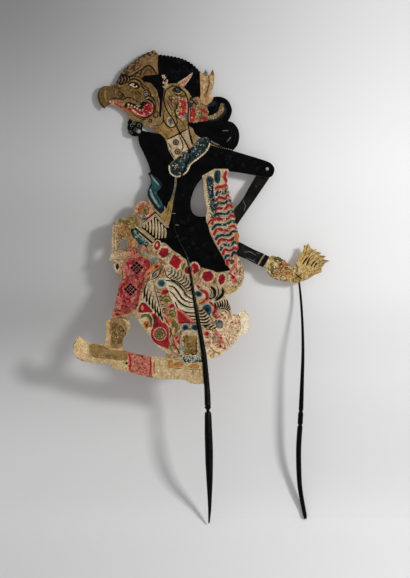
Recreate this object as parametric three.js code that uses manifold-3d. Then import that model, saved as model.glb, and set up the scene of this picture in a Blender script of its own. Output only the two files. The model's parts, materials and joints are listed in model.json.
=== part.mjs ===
// A flat leather shadow puppet with one jointed arm: a cut and pierced hide figure held
// in the slit of a horn main rod, and a second horn rod that works the hand.
// Millimetres, +Z up. The hide lies in the XZ plane, its painted front towards -Y, and
// the origin is the pointed tip of the main rod.
import * as THREE from 'three';
import { mergeVertices } from 'three/addons/utils/BufferGeometryUtils.js';
import Module from 'manifold-3d';

const wasm = await Module();
wasm.setup();

// Driving dimensions: thicknesses, clearances and round stock
const hideThickness = 1.6;
const armThickness = 1.3;
const clearance = 0.3;
const threadDiameter = 0.9;
const awlDiameter = 1.4;
const slotWidth = 1.1;
const latticeStep = 3.4;

// Driving dimensions: the pegs of the arm
const pegDiameter = 2.8;
const pegHeadDiameter = 4.8;
const pegHeadHeight = 1.3;
const elbowHeadHeight = 0.7;
const washerDiameter = 8;
const washerThickness = 0.8;
const rivetDiameter = 4.4;
const rivetHeight = 0.7;

// Driving dimensions: the arm, from its shoulder peg to its elbow peg and its hand
const shoulder = new THREE.Vector2(86, 524);
const upperArmReach = 126.5;
const upperArmLean = 34.7;
const forearmReach = 131;
const forearmLean = -65.2;
const upperArmWidth = 18.5;

// Driving dimensions: the main rod
const gripDiameter = 12.4;
const slitBottom = 204;
const upperLegHeight = 1.3;
const gripBow = 7;
const rodTipDiameter = 2.4;

// Driving dimensions: the hand rod
const handRodLength = 361;
const handRodGrip = 8;
const handRodEye = 4;
const handRodSetBack = 1.2;

// Driving dimensions: the crossed knot in the palm
const knotLength = 12;
const knotWidth = 2.2;
const knotAngles = [32, -38];

// Layers, from the hide's middle plane towards the back
const hideBack = hideThickness / 2;
const upperLegBack = hideBack + clearance + upperLegHeight;
const tieBack = upperLegBack + clearance + threadDiameter;
const elbowHeadFront = tieBack + clearance;
const upperArmFront = elbowHeadFront + elbowHeadHeight + clearance;
const upperArmBack = upperArmFront + armThickness;
const forearmFront = upperArmBack + clearance;
const forearmBack = forearmFront + armThickness;
const handRodEyeY = forearmBack + 2 * clearance + threadDiameter + handRodEye / 2;

// Joints worked out from the arm's reach and lean, measured from straight down
const radians = THREE.MathUtils.degToRad;
const below = (start, reach, lean) => new THREE.Vector2(
  start.x - reach * Math.sin(radians(lean)),
  start.y - reach * Math.cos(radians(lean)),
);
const elbow = below(shoulder, upperArmReach, upperArmLean);
const handHole = below(elbow, forearmReach, forearmLean);

// A cut edge, drawn clockwise as seen from the front, so that its left side is outside
class CutEdge {
  constructor(x, z) {
    this.points = [new THREE.Vector2(x, z)];
  }

  get last() {
    return this.points[this.points.length - 1];
  }

  line(...corners) {
    for (const [x, z] of corners) this.points.push(new THREE.Vector2(x, z));
    return this;
  }

  curve(stepsPerSpan, ...through) {
    const knots = [this.last, ...through.map(([x, z]) => new THREE.Vector2(x, z))];
    const spline = new THREE.SplineCurve(knots);
    this.points.push(...spline.getPoints(stepsPerSpan * through.length).slice(1));
    return this;
  }

  // A row of equal round scallops that stand out by rise, along a smooth line
  scallops(count, rise, ...through) {
    const knots = [this.last, ...through.map(([x, z]) => new THREE.Vector2(x, z))];
    const seats = new THREE.SplineCurve(knots).getSpacedPoints(count);
    for (let i = 0; i < count; i += 1) {
      const along = seats[i + 1].clone().sub(seats[i]);
      const outward = new THREE.Vector2(-along.y, along.x).normalize();
      for (const share of [0.15, 0.5, 0.85]) {
        const lift = rise * Math.sin(Math.PI * share) ** 0.6;
        this.points.push(seats[i].clone().addScaledVector(along, share).addScaledVector(outward, lift));
      }
      this.points.push(seats[i + 1]);
    }
    return this;
  }
}

// Turns a geometry into a solid that can be cut, and back
function solidOf(geometry) {
  const bare = geometry.index ? geometry.toNonIndexed() : geometry.clone();
  bare.deleteAttribute('normal');
  bare.deleteAttribute('uv');
  const merged = mergeVertices(bare, 1e-4);
  return new wasm.Manifold(new wasm.Mesh({
    numProp: 3,
    vertProperties: merged.attributes.position.array,
    triVerts: Uint32Array.from(merged.index.array),
  }));
}

function geometryOf(solid) {
  const mesh = solid.getMesh();
  const geometry = new THREE.BufferGeometry();
  geometry.setAttribute('position', new THREE.BufferAttribute(mesh.vertProperties, 3));
  geometry.setIndex(new THREE.BufferAttribute(mesh.triVerts, 1));
  geometry.computeVertexNormals();
  return geometry;
}

// A flat sheet cut to an outline, from yFront to yBack
function sheet(points, yFront, yBack) {
  const shape = new THREE.Shape(points);
  const geometry = new THREE.ExtrudeGeometry(shape, {
    depth: yBack - yFront, bevelEnabled: false, curveSegments: 1,
  });
  geometry.rotateX(Math.PI / 2);
  geometry.translate(0, yBack, 0);
  return solidOf(geometry);
}

// Regular hole and slot outlines for the punch work
function roundHole(x, z, diameter, sides = 6) {
  return Array.from({ length: sides }, (unused, i) => {
    const turn = (i / sides) * 2 * Math.PI;
    return new THREE.Vector2(x + (diameter / 2) * Math.cos(turn), z + (diameter / 2) * Math.sin(turn));
  });
}

function slotHole(x, z, length, width, angle) {
  const along = new THREE.Vector2(Math.cos(radians(angle)), Math.sin(radians(angle)));
  const across = new THREE.Vector2(-along.y, along.x);
  const corner = (s, t) => new THREE.Vector2(x, z)
    .addScaledVector(along, (s * length) / 2).addScaledVector(across, (t * width) / 2);
  return [corner(-1, 0), corner(-0.6, -1), corner(0.6, -1), corner(1, 0), corner(0.6, 1), corner(-0.6, 1)];
}

function punchRow(count, diameter, ...through) {
  const knots = through.map(([x, z]) => new THREE.Vector2(x, z));
  const seats = new THREE.SplineCurve(knots).getSpacedPoints(count - 1);
  return seats.map((seat) => roundHole(seat.x, seat.y, diameter));
}

function rosette(x, z, radius, petals, diameter) {
  return Array.from({ length: petals }, (unused, i) => {
    const turn = ((i + 0.5) / petals) * 2 * Math.PI;
    return roundHole(x + radius * Math.cos(turn), z + radius * Math.sin(turn), diameter);
  });
}

// Nine holes in a square that stands on its corner
function lattice(x, z, step, diameter) {
  const places = [-1, 0, 1];
  return places.flatMap((row) => places.map((column) => roundHole(
    x + (column - row) * step * Math.SQRT1_2, z + (column + row) * step * Math.SQRT1_2, diameter,
  )));
}

function punchThrough(solid, outlines, yFront, yBack) {
  const cutters = outlines.map((points) => sheet(points, yFront - 1, yBack + 1));
  return solid.subtract(wasm.Manifold.union(cutters));
}

// A turned or carved rod: rings of flattened circles along a centre line.
// Each station is [x, y, z, half width, half depth].
function carvedRod(stations, sides, ringStep) {
  const centres = stations.map(([x, y, z]) => new THREE.Vector3(x, y, z));
  const path = new THREE.CatmullRomCurve3(centres, false, 'centripetal');
  const rings = [];
  for (let i = 0; i < stations.length - 1; i += 1) {
    const span = centres[i].distanceTo(centres[i + 1]);
    const steps = Math.max(1, Math.round(span / ringStep));
    for (let step = 0; step < steps; step += 1) rings.push([i, step / steps]);
  }
  rings.push([stations.length - 2, 1]);
  const positions = [];
  for (const [i, share] of rings) {
    const t = (i + share) / (stations.length - 1);
    const centre = path.getPoint(t);
    const tangent = path.getTangent(t);
    const across = new THREE.Vector3(tangent.z, 0, -tangent.x).normalize();
    const deep = new THREE.Vector3().crossVectors(tangent, across);
    const halfWidth = THREE.MathUtils.lerp(stations[i][3], stations[i + 1][3], share);
    const halfDepth = THREE.MathUtils.lerp(stations[i][4], stations[i + 1][4], share);
    for (let side = 0; side < sides; side += 1) {
      const turn = ((side + 0.5) / sides) * 2 * Math.PI;
      const point = centre.clone()
        .addScaledVector(across, halfWidth * Math.cos(turn))
        .addScaledVector(deep, halfDepth * Math.sin(turn));
      positions.push(point.x, point.y, point.z);
    }
  }
  return solidOf(skin(positions, rings.length, sides, false));
}

// Closes rings of points into a solid skin. A looped skin joins its last ring to its first.
function skin(positions, ringCount, sides, looped) {
  const triangles = [];
  const at = (ring, side) => (ring % ringCount) * sides + (side % sides);
  const spans = looped ? ringCount : ringCount - 1;
  for (let ring = 0; ring < spans; ring += 1) {
    for (let side = 0; side < sides; side += 1) {
      triangles.push(at(ring, side), at(ring, side + 1), at(ring + 1, side + 1));
      triangles.push(at(ring, side), at(ring + 1, side + 1), at(ring + 1, side));
    }
  }
  if (!looped) {
    for (let side = 1; side < sides - 1; side += 1) {
      triangles.push(0, side + 1, side);
      triangles.push(at(ringCount - 1, 0), at(ringCount - 1, side), at(ringCount - 1, side + 1));
    }
  }
  const geometry = new THREE.BufferGeometry();
  geometry.setAttribute('position', new THREE.Float32BufferAttribute(positions, 3));
  geometry.setIndex(triangles);
  return geometry;
}

// A closed loop of thread: an oval of halfWide by halfDeep round a centre, in the plane
// of two directions
function threadLoop(centre, wide, deep, halfWide, halfDeep, steps = 16, sides = 6) {
  const normal = new THREE.Vector3().crossVectors(wide, deep).normalize();
  const positions = [];
  for (let step = 0; step < steps; step += 1) {
    const turn = (step / steps) * 2 * Math.PI;
    const squareness = 0.72;
    const c = Math.sign(Math.cos(turn)) * Math.abs(Math.cos(turn)) ** squareness;
    const s = Math.sign(Math.sin(turn)) * Math.abs(Math.sin(turn)) ** squareness;
    const point = centre.clone().addScaledVector(wide, halfWide * c).addScaledVector(deep, halfDeep * s);
    const outward = wide.clone().multiplyScalar(c / halfWide).addScaledVector(deep, s / halfDeep).normalize();
    for (let side = 0; side < sides; side += 1) {
      const roll = (side / sides) * 2 * Math.PI;
      const rim = point.clone()
        .addScaledVector(outward, (threadDiameter / 2) * Math.cos(roll))
        .addScaledVector(normal, -(threadDiameter / 2) * Math.sin(roll));
      positions.push(rim.x, rim.y, rim.z);
    }
  }
  return solidOf(skin(positions, steps, sides, true));
}

// Round pieces on an axis along Y, from a profile of [radius, y] that starts and ends on it
function turned(profile, x, z, sides = 16) {
  const geometry = new THREE.LatheGeometry(profile.map(([r, y]) => new THREE.Vector2(r, y)), sides);
  geometry.translate(x, 0, z);
  return solidOf(geometry);
}

function washer(x, z, yFront, yBack, outerDiameter) {
  const hole = pegDiameter / 2 + clearance;
  const outer = outerDiameter / 2;
  const profile = [[hole, yFront], [outer, yFront], [outer, yBack], [hole, yBack], [hole, yFront]];
  return turned(profile, x, z, 20);
}

function peg(x, z, headFront, headHeight, headDiameter, rivetFront) {
  const shank = pegDiameter / 2;
  const head = headDiameter / 2;
  const seat = headFront + headHeight;
  const rivetBack = rivetFront + rivetHeight;
  return turned([
    [0, headFront], [head * 0.55, headFront + headHeight * 0.12], [head * 0.9, headFront + headHeight * 0.45],
    [head, headFront + headHeight * 0.8], [head, seat], [shank, seat], [shank, rivetFront],
    [rivetDiameter / 2, rivetFront], [rivetDiameter / 2, rivetFront + rivetHeight * 0.5],
    [shank, rivetBack], [0, rivetBack],
  ], x, z);
}

// The figure's outer edge, stretch by stretch
function figureEdge() {
  const edge = new CutEdge(-155, 613);
  // Hooked nose and brow
  edge.curve(3, [-161, 619], [-165, 630], [-163, 640], [-157, 646], [-147, 647], [-137, 649]);
  // Scalloped band of the cap
  edge.scallops(11, 1.6, [-128, 667], [-113, 680], [-97, 692], [-80, 699]);
  // Beaded crown of the hair
  edge.line([-74, 692]);
  edge.scallops(13, 1.6, [-58, 690], [-40, 686], [-25, 678], [-12, 665]);
  // Two-pronged feather behind the hair
  edge.curve(2, [-8, 666], [-5, 671.5]);
  edge.curve(2, [-3, 667], [-1, 662]);
  edge.curve(2, [3, 667], [5.5, 671.5]);
  edge.curve(2, [8, 662], [7, 649], [4, 637], [1, 629]);
  // Two curls at the nape
  edge.curve(3, [10, 631], [20, 630], [29, 624], [34, 612], [32, 602], [28, 595]);
  edge.curve(3, [36, 592], [43, 583], [45, 571], [42, 559], [35, 551]);
  // Rear shoulder
  edge.curve(2, [50, 546.5], [70, 540.5], [84, 536]);
  edge.curve(3, [92, 532], [97, 524], [94, 514], [87, 510.5]);
  edge.curve(2, [70, 514], [48, 518], [28, 520.5]);
  // Ruffled edge of the hanging sash
  edge.scallops(13, 2.2, [25, 506], [28, 490], [33, 474], [36, 458], [39, 440], [43, 424], [41, 402]);
  edge.line([42, 394]);
  edge.scallops(6, 1.7, [47, 387], [51, 372], [50, 358], [44, 348], [34, 341], [22, 337]);
  // Back of the skirt down to the hem
  edge.curve(2, [28, 329], [32, 318], [36, 309], [43, 308]);
  edge.curve(2, [47, 314], [53, 314], [59, 306], [58, 294]);
  edge.curve(2, [59, 287], [54, 280], [48, 281]);
  edge.scallops(9, 1.2, [38, 268], [27, 257], [13, 247.5], [-3, 242]);
  // Heel of the ground strip, held in the slit of the rod
  edge.line([-3, 207]);
  edge.curve(2, [-14, 205.5], [-28, 207], [-36, 212], [-60, 212.5], [-90, 216], [-120, 224], [-140, 228]);
  // Slipper with a turned-up toe
  edge.curve(2, [-150, 235], [-168, 236], [-188, 239.5], [-198, 248], [-201, 260], [-198, 270], [-192, 277]);
  edge.curve(2, [-185, 271], [-174, 266], [-157, 264]);
  // Front leg
  edge.curve(2, [-153, 272], [-152, 283], [-153, 297], [-146, 301]);
  edge.curve(2, [-143, 312], [-138, 328], [-134, 347], [-129, 365]);
  // Front edge of the skirt and its tassels
  edge.scallops(2, 2.6, [-141, 378], [-139, 387]);
  edge.line([-147, 388]);
  edge.scallops(9, 1.5, [-143, 404], [-143, 420], [-141, 440]);
  edge.scallops(6, 1.5, [-138, 446], [-126, 450], [-112, 454]);
  edge.scallops(3, 2.4, [-108, 469], [-98, 476], [-87, 469]);
  // Hilt worn at the belly
  edge.curve(2, [-90, 480], [-91, 491], [-86.5, 502], [-87, 511], [-90.5, 517]);
  edge.curve(2, [-86.5, 520]);
  // Front sleeve up to the shoulder
  edge.curve(2, [-90, 532], [-97, 548], [-103, 560], [-105, 573]);
  // Pierced beard
  edge.curve(2, [-110, 572], [-116, 574]);
  edge.scallops(3, 1.5, [-120, 584], [-118, 597]);
  // Chin and lower lip
  edge.curve(2, [-120, 604], [-128, 612], [-137, 617], [-146, 620]);
  edge.curve(2, [-150, 618], [-155, 613]);
  edge.points.pop();
  return edge.points;
}

// Openings that show the wall behind, each drawn as an edge of its own
function windows() {
  const behindTheBack = new CutEdge(-9, 511);
  behindTheBack.curve(2, [-8, 495], [-6, 478], [-3, 462], [-5, 454]);
  behindTheBack.curve(2, [-13, 453.5], [-21, 456], [-26, 463], [-27, 474], [-24, 488], [-17, 502], [-9, 511]);
  const underTheJaw = new CutEdge(-98, 580.5);
  underTheJaw.curve(2, [-99, 585], [-97, 589]);
  underTheJaw.curve(2, [-89, 587], [-80, 581], [-74, 576]);
  underTheJaw.curve(2, [-85, 578], [-98, 580.5]);
  const betweenTheLegs = new CutEdge(-117, 297);
  betweenTheLegs.scallops(1, 3.5, [-112, 308]);
  betweenTheLegs.scallops(9, -1.2, [-104, 300], [-98, 289], [-88, 279], [-78, 264], [-66, 255], [-60, 244]);
  betweenTheLegs.curve(2, [-70, 246], [-90, 247], [-112, 251.5], [-125, 256]);
  betweenTheLegs.curve(2, [-128, 268], [-124, 277], [-117, 285], [-117, 297]);
  const frontTassel = new CutEdge(-132, 404);
  frontTassel.curve(2, [-132, 413], [-126, 420], [-120, 417], [-124, 406], [-132, 404]);
  const beardCurl = roundHole(-104, 579, 5.6, 10);
  return [behindTheBack, underTheJaw, betweenTheLegs, frontTassel]
    .map((edge) => edge.points.slice(0, -1)).concat([beardCurl]);
}

// Rows, flowers and lattices punched through the hide
function piercings() {
  return [
    ...punchRow(9, awlDiameter, [-130, 656], [-110, 674], [-84, 690]),
    ...punchRow(9, awlDiameter, [4, 561.5], [18, 557], [33, 552.5]),
    ...punchRow(5, awlDiameter, [-116, 580], [-112, 590], [-106, 587]),
    ...punchRow(5, awlDiameter, [-137, 432], [-138, 412], [-138, 396]),
    ...lattice(-107, 377, latticeStep, awlDiameter),
    ...lattice(-116, 346, latticeStep, awlDiameter),
    ...rosette(-73, 280, 6, 8, awlDiameter),
    ...rosette(-98, 464, 6, 8, awlDiameter),
    ...punchRow(8, awlDiameter, [-52, 258], [-28, 246], [-14, 247]),
    ...punchRow(7, awlDiameter, [48, 302], [52, 296], [47, 284], [34, 272]),
  ];
}

// Long slots: between the feathers of the skirt's painted wing and tail, and in a curl
function slots() {
  const wing = new THREE.SplineCurve([[-58, 372], [-44, 352], [-30, 326]]
    .map(([x, z]) => new THREE.Vector2(x, z)));
  const tail = new THREE.SplineCurve([[-92, 352], [-84, 336], [-74, 322]]
    .map(([x, z]) => new THREE.Vector2(x, z)));
  return [
    ...wing.getSpacedPoints(5).map((seat, i) => slotHole(seat.x, seat.y, 11, slotWidth, -18 - 9 * i)),
    ...tail.getSpacedPoints(4).map((seat, i) => slotHole(seat.x, seat.y, 10, slotWidth, -30 - 8 * i)),
    slotHole(24.5, 580.5, 6, slotWidth, 8),
    slotHole(30, 568, 8, slotWidth, 52),
  ];
}

// Centre line of the main rod: [x, z, half width] from the tip up and round the ear, with
// the name of the thread where one laces the hide between the legs.
// The grip bows towards the viewer and comes back to the plane of the hide at both ends.
const gripHalf = gripDiameter / 2;
const gripStations = [
  [0, 0, rodTipDiameter / 2], [1, 20, gripHalf * 0.4], [1, 42, gripHalf * 0.58], [0.8, 66, gripHalf * 0.8],
  [0.3, 90, gripHalf * 0.95], [0, 110, gripHalf], [-0.8, 134, gripHalf * 0.96], [-1.4, 160, gripHalf * 0.85],
  [-1.5, 163.5, gripHalf * 0.8], [-1.6, 166, gripHalf * 0.42], [-1.6, 168, gripHalf * 0.42],
  [-1.7, 170.5, gripHalf * 0.76], [-1.8, 172.5, gripHalf * 0.8], [-1.8, 174, gripHalf * 0.66],
  [-1.9, 175.5, gripHalf * 0.8], [-2, 178, gripHalf * 0.76], [-2.3, 190, gripHalf * 0.76],
];
const legStations = [
  [-3, 202, 4.4], [-4.6, 220, 4.3, 'foot_tie'], [-6.4, 242, 4], [-9.5, 262, 3.7, 'hem_tie'],
  [-13, 282, 3.4], [-16.5, 302, 3.1], [-20, 322, 2.8, 'knee_tie'], [-23.2, 342, 2.4],
  [-26.2, 362, 2.1], [-29.2, 380, 1.9, 'hip_tie'], [-33.5, 396, 1.6], [-40, 409, 1.4],
  [-47.5, 424, 1.3, 'belt_tie'], [-51.8, 441, 1.2], [-52.4, 458, 1.2, 'waist_tie'], [-51.5, 476, 1.15],
  [-47.5, 496, 1.1], [-40, 515, 1.1, 'chest_tie'], [-32, 531, 1.1], [-28, 546, 1.05],
  [-32.5, 560, 1.05], [-42, 575.5, 1, 'neck_tie'], [-53, 597, 1], [-63, 613, 0.95],
  [-67, 629, 0.95, 'cheek_tie'], [-63.5, 641, 0.95], [-54, 647, 0.95, 'crown_tie'], [-44, 645, 0.95],
  [-35, 636, 0.95], [-30.5, 622, 0.95, 'ear_tie'], [-30.8, 604, 0.95], [-30, 586, 0.95],
  [-27, 572, 0.9, 'nape_tie'], [-23.5, 560, 0.8],
];

function legHalfDepth(z) {
  const fullness = THREE.MathUtils.clamp((400 - z) / (400 - slitBottom), 0, 1);
  return THREE.MathUtils.lerp(upperLegBack, gripHalf * 0.72, fullness);
}

function mainRodStations() {
  const bowAt = (z) => -gripBow * Math.sin(Math.PI * Math.min(1, z / slitBottom)) ** 1.2;
  const grip = gripStations.map(([x, z, half]) => [x, bowAt(z), z, half, half]);
  const legs = legStations.map(([x, z, half]) => [x, 0, z, half, legHalfDepth(z)]);
  return [...grip, ...legs];
}

function mainRod() {
  const whole = carvedRod(mainRodStations(), 10, 9);
  const top = Math.max(...legStations.map(([, z]) => z)) + gripDiameter;
  const width = 2 * Math.max(...legStations.map(([x]) => Math.abs(x))) + gripDiameter;
  const slit = new THREE.BoxGeometry(width, hideThickness + 2 * clearance, top - slitBottom);
  slit.translate(0, 0, (top + slitBottom) / 2);
  return whole.subtract(solidOf(slit));
}

// Threads that lace the hide between the legs. Each goes round both legs, through two
// awl holes in the hide.
const laced = legStations.flatMap((row, station) => (row[3] ? [[row[3], station]] : []));

function tieSeat(station) {
  const [x, z, half] = legStations[station];
  const [x0, z0] = legStations[station - 1];
  const [x1, z1] = legStations[Math.min(station + 1, legStations.length - 1)];
  const tangent = new THREE.Vector2(x1 - x0, z1 - z0).normalize();
  const halfDepth = legHalfDepth(z) + clearance + threadDiameter / 2;
  return {
    centre: new THREE.Vector3(x, 0, z),
    across: new THREE.Vector3(tangent.y, 0, -tangent.x),
    halfWide: half + clearance + threadDiameter / 2,
    halfDeep: halfDepth,
  };
}

function tieHoles() {
  return laced.flatMap(([, station]) => {
    const { centre, across, halfWide } = tieSeat(station);
    return [-1, 1].map((side) => roundHole(
      centre.x + side * halfWide * across.x, centre.z + side * halfWide * across.z,
      threadDiameter + 2 * clearance, 8,
    ));
  });
}

function tie(station) {
  const { centre, across, halfWide, halfDeep } = tieSeat(station);
  return threadLoop(centre, across, new THREE.Vector3(0, 1, 0), halfWide, halfDeep);
}

function hideBody() {
  const yFront = -hideBack;
  const blank = sheet(figureEdge(), yFront, hideBack);
  const pegHole = roundHole(shoulder.x, shoulder.y, pegDiameter + 2 * clearance, 12);
  const cuts = [...windows(), ...piercings(), ...slots(), ...tieHoles(), pegHole];
  return punchThrough(blank, cuts, yFront, hideBack);
}

// Points of a round end, walked clockwise from one angle to another
function roundEnd(centre, radius, fromAngle, toAngle, steps = 8) {
  return Array.from({ length: steps + 1 }, (unused, i) => {
    const turn = radians(THREE.MathUtils.lerp(fromAngle, toAngle, i / steps));
    return new THREE.Vector2(centre.x + radius * Math.cos(turn), centre.y + radius * Math.sin(turn));
  });
}

// Upper arm: a strap with round ends on the two pegs, hollowed on the side of the body.
// Each place is [share of the way down, share of the strap's width from the pegs' line].
function upperArm() {
  const along = elbow.clone().sub(shoulder).normalize();
  const across = new THREE.Vector2(along.y, -along.x);
  const at = ([share, side]) => shoulder.clone()
    .addScaledVector(along, share * upperArmReach).addScaledVector(across, side * upperArmWidth);
  const axis = THREE.MathUtils.radToDeg(Math.atan2(along.y, along.x));
  const outerSide = [[0.1, -0.57], [0.4, -0.58], [0.7, -0.57], [0.9, -0.53]];
  const bodySide = [[0.85, 0.49], [0.68, 0.43], [0.56, 0.3], [0.44, 0.25], [0.3, 0.35], [0.12, 0.43]];
  const outline = [
    ...roundEnd(shoulder, upperArmWidth * 0.53, axis + 262, axis + 98, 10),
    ...outerSide.map(at),
    ...roundEnd(elbow, upperArmWidth / 2, axis + 90, axis - 90, 10),
    ...new THREE.SplineCurve(bodySide.map(at)).getPoints(10),
  ];
  const holes = [shoulder, elbow].map((c) => roundHole(c.x, c.y, pegDiameter + 2 * clearance, 12));
  return punchThrough(sheet(outline, upperArmFront, upperArmBack), holes, upperArmFront, upperArmBack);
}

// Forearm, drawn along the line from the elbow peg to the thread hole of the hand. A place
// is [distance past the start, height above the line]: the sleeve starts at the elbow, and
// the bracelet and the hand at the thread hole.
const armAlong = handHole.clone().sub(elbow).normalize();
const armUp = new THREE.Vector2(-armAlong.y, armAlong.x);
const fromPlace = (start) => ([reach, rise]) => start.clone()
  .addScaledVector(armAlong, reach).addScaledVector(armUp, rise);
const onSleeve = fromPlace(elbow);
const onHand = fromPlace(handHole);
const pair = (point) => [point.x, point.y];

function forearm() {
  const start = onSleeve([0, 9]);
  const edge = new CutEdge(start.x, start.y);
  const sleeve = (...places) => places.map((place) => pair(onSleeve(place)));
  const hand = (...places) => places.map((place) => pair(onHand(place)));
  // Upper side: sleeve, scalloped bracelet, then the back of the spread hand
  edge.curve(2, ...sleeve([14, 10], [34, 9.5], [54, 8.5], [69, 9], [80, 8.5]));
  edge.scallops(4, 1.6, ...hand([-39.5, 13], [-28, 11.5], [-16, 7]));
  edge.curve(2, ...hand([-11, 9.5], [-12, 17], [-11.5, 25], [-10, 33], [-10.5, 41], [-12.5, 46]));
  // Five long nails, each with a notch before the next
  edge.line(...hand([-9, 45.5], [-7, 50.5], [-1, 46], [2.5, 45]));
  edge.line(...hand([8.5, 48], [6, 44.5], [16.5, 46], [14, 41.5], [24.5, 44.5], [22, 38.5]));
  edge.line(...hand([33, 40.5], [28, 34.5]));
  // Heel of the hand and underside of the bracelet
  edge.curve(2, ...hand([26, 25], [28.5, 20], [20, 11.5], [15, 2.5], [4, -8]));
  edge.scallops(6, 1.6, ...hand([-13, -13.5], [-28, -17], [-41.5, -15], [-49.5, -9.5]));
  // Underside of the sleeve back to the elbow
  edge.curve(2, ...sleeve([66, -10], [50, -9.5], [34, -10], [14, -9.8], [0, -9]));
  edge.curve(3, ...sleeve([-6.4, -6.4], [-9, 0], [-6.4, 6.4], [0, 9]));
  const outline = edge.points.slice(0, -1);
  const cuts = [
    roundHole(elbow.x, elbow.y, pegDiameter + 2 * clearance, 12),
    roundHole(handHole.x, handHole.y, threadDiameter + 4 * clearance, 10),
    ...[-41, -33, -25].map((reach) => roundHole(...pair(onHand([reach, 0])), awlDiameter, 8)),
  ];
  return punchThrough(sheet(outline, forearmFront, forearmBack), cuts, forearmFront, forearmBack);
}

// The hand rod: a horn stick with an eye at the top, a waist and a thicker grip
function handRod() {
  const top = handHole.y;
  const grip = handRodGrip / 2;
  const eye = handRodEye / 2;
  const gripY = handRodEyeY + handRodSetBack + grip - eye;
  const down = (share) => top - share * handRodLength;
  const rod = [
    [handHole.x, handRodEyeY, down(0) + eye * 0.98, eye * 0.3, eye * 0.3],
    [handHole.x, handRodEyeY, down(0) + eye * 0.75, eye * 0.72, eye * 0.66],
    [handHole.x, handRodEyeY, down(0), eye * 0.9, eye],
    [handHole.x + 0.3, handRodEyeY, down(0.012), eye * 0.85, eye * 0.85],
    [handHole.x + 1.4, handRodEyeY, down(0.03), eye * 0.76, eye * 0.76],
    [handHole.x + 4, handRodEyeY + 0.2, down(0.1), eye * 0.92, eye * 0.92],
    [handHole.x + 6.2, handRodEyeY + 0.6, down(0.2), eye, eye],
    [handHole.x + 7, gripY - 0.9, down(0.32), grip * 0.6, grip * 0.6],
    [handHole.x + 5.8, gripY - 0.3, down(0.43), grip * 0.74, grip * 0.74],
    [handHole.x + 4.2, gripY, down(0.548), grip * 0.92, grip * 0.92],
    [handHole.x + 4, gripY, down(0.556), grip * 0.68, grip * 0.68],
    [handHole.x + 3.8, gripY, down(0.564), grip * 0.98, grip * 0.98],
    [handHole.x + 3, gripY, down(0.606), grip, grip],
    [handHole.x + 2.9, gripY, down(0.613), grip * 0.7, grip * 0.7],
    [handHole.x + 2.7, gripY, down(0.62), grip, grip],
    [handHole.x + 0.8, gripY, down(0.7), grip, grip],
    [handHole.x + 0.9, gripY, down(0.79), grip * 0.98, grip * 0.98],
    [handHole.x + 2.6, gripY, down(0.87), grip * 0.9, grip * 0.9],
    [handHole.x + 6, gripY, down(0.93), grip * 0.82, grip * 0.82],
    [handHole.x + 10, gripY, down(0.985), grip * 0.74, grip * 0.74],
    [handHole.x + 11, gripY, down(1), grip * 0.45, grip * 0.45],
  ];
  const eyeHole = new THREE.CylinderGeometry(
    threadDiameter / 2 + clearance, threadDiameter / 2 + clearance, handRodEye * 3, 10,
  );
  eyeHole.rotateZ(Math.PI / 2);
  eyeHole.translate(handHole.x, handRodEyeY, handHole.y);
  return carvedRod(rod, 12, 9).subtract(solidOf(eyeHole));
}

// The thread at the hand: a crossed knot in front of the palm, a neck through the thread
// hole and a loop through the eye of the rod
function handTie() {
  const knotThickness = threadDiameter * 0.8;
  const knotBack = forearmFront - clearance / 2;
  const strands = knotAngles.map((angle) => sheet(
    slotHole(handHole.x, handHole.y, knotLength, knotWidth, angle), knotBack - knotThickness, knotBack,
  ));
  const neck = new THREE.CylinderGeometry(threadDiameter / 2, threadDiameter / 2, 1, 8);
  const neckFront = knotBack - knotThickness / 2;
  const neckBack = forearmBack + clearance + threadDiameter / 2;
  neck.scale(1, neckBack - neckFront, 1);
  neck.translate(handHole.x, (neckFront + neckBack) / 2, handHole.y);
  const loopDeep = (handRodEyeY - neckBack) / 2;
  const loopWide = handRodEye / 2 + clearance + threadDiameter / 2;
  const middle = new THREE.Vector3(handHole.x, neckBack + loopDeep, handHole.y);
  const loop = threadLoop(
    middle, new THREE.Vector3(1, 0, 0), new THREE.Vector3(0, 1, 0), loopWide, loopDeep, 16, 6,
  );
  return wasm.Manifold.union([...strands, solidOf(neck), loop]);
}

// Materials, by the colour of the real piece
const material = (color, roughness) => new THREE.MeshStandardMaterial({
  color: new THREE.Color(...color), roughness, metalness: 0,
});
const finishes = {
  paintedHide: material([0.72, 0.62, 0.45], 0.7),
  blackHide: material([0.03, 0.03, 0.032], 0.6),
  giltHide: material([0.66, 0.53, 0.28], 0.55),
  horn: material([0.02, 0.018, 0.016], 0.3),
  bone: material([0.86, 0.82, 0.72], 0.4),
  washerHide: material([0.35, 0.24, 0.14], 0.75),
  paleThread: material([0.7, 0.66, 0.56], 0.9),
  darkThread: material([0.05, 0.045, 0.04], 0.9),
};

const puppet = new THREE.Group();

function add(name, solid, finish) {
  const mesh = new THREE.Mesh(geometryOf(solid), finish);
  mesh.name = name;
  puppet.add(mesh);
}

// Pieces of the figure and its main rod
add('hide_body', hideBody(), finishes.paintedHide);
add('main_rod', mainRod(), finishes.horn);
for (const [name, station] of laced) {
  add(name, tie(station), name === 'hip_tie' || name === 'waist_tie' ? finishes.paleThread : finishes.darkThread);
}

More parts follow.
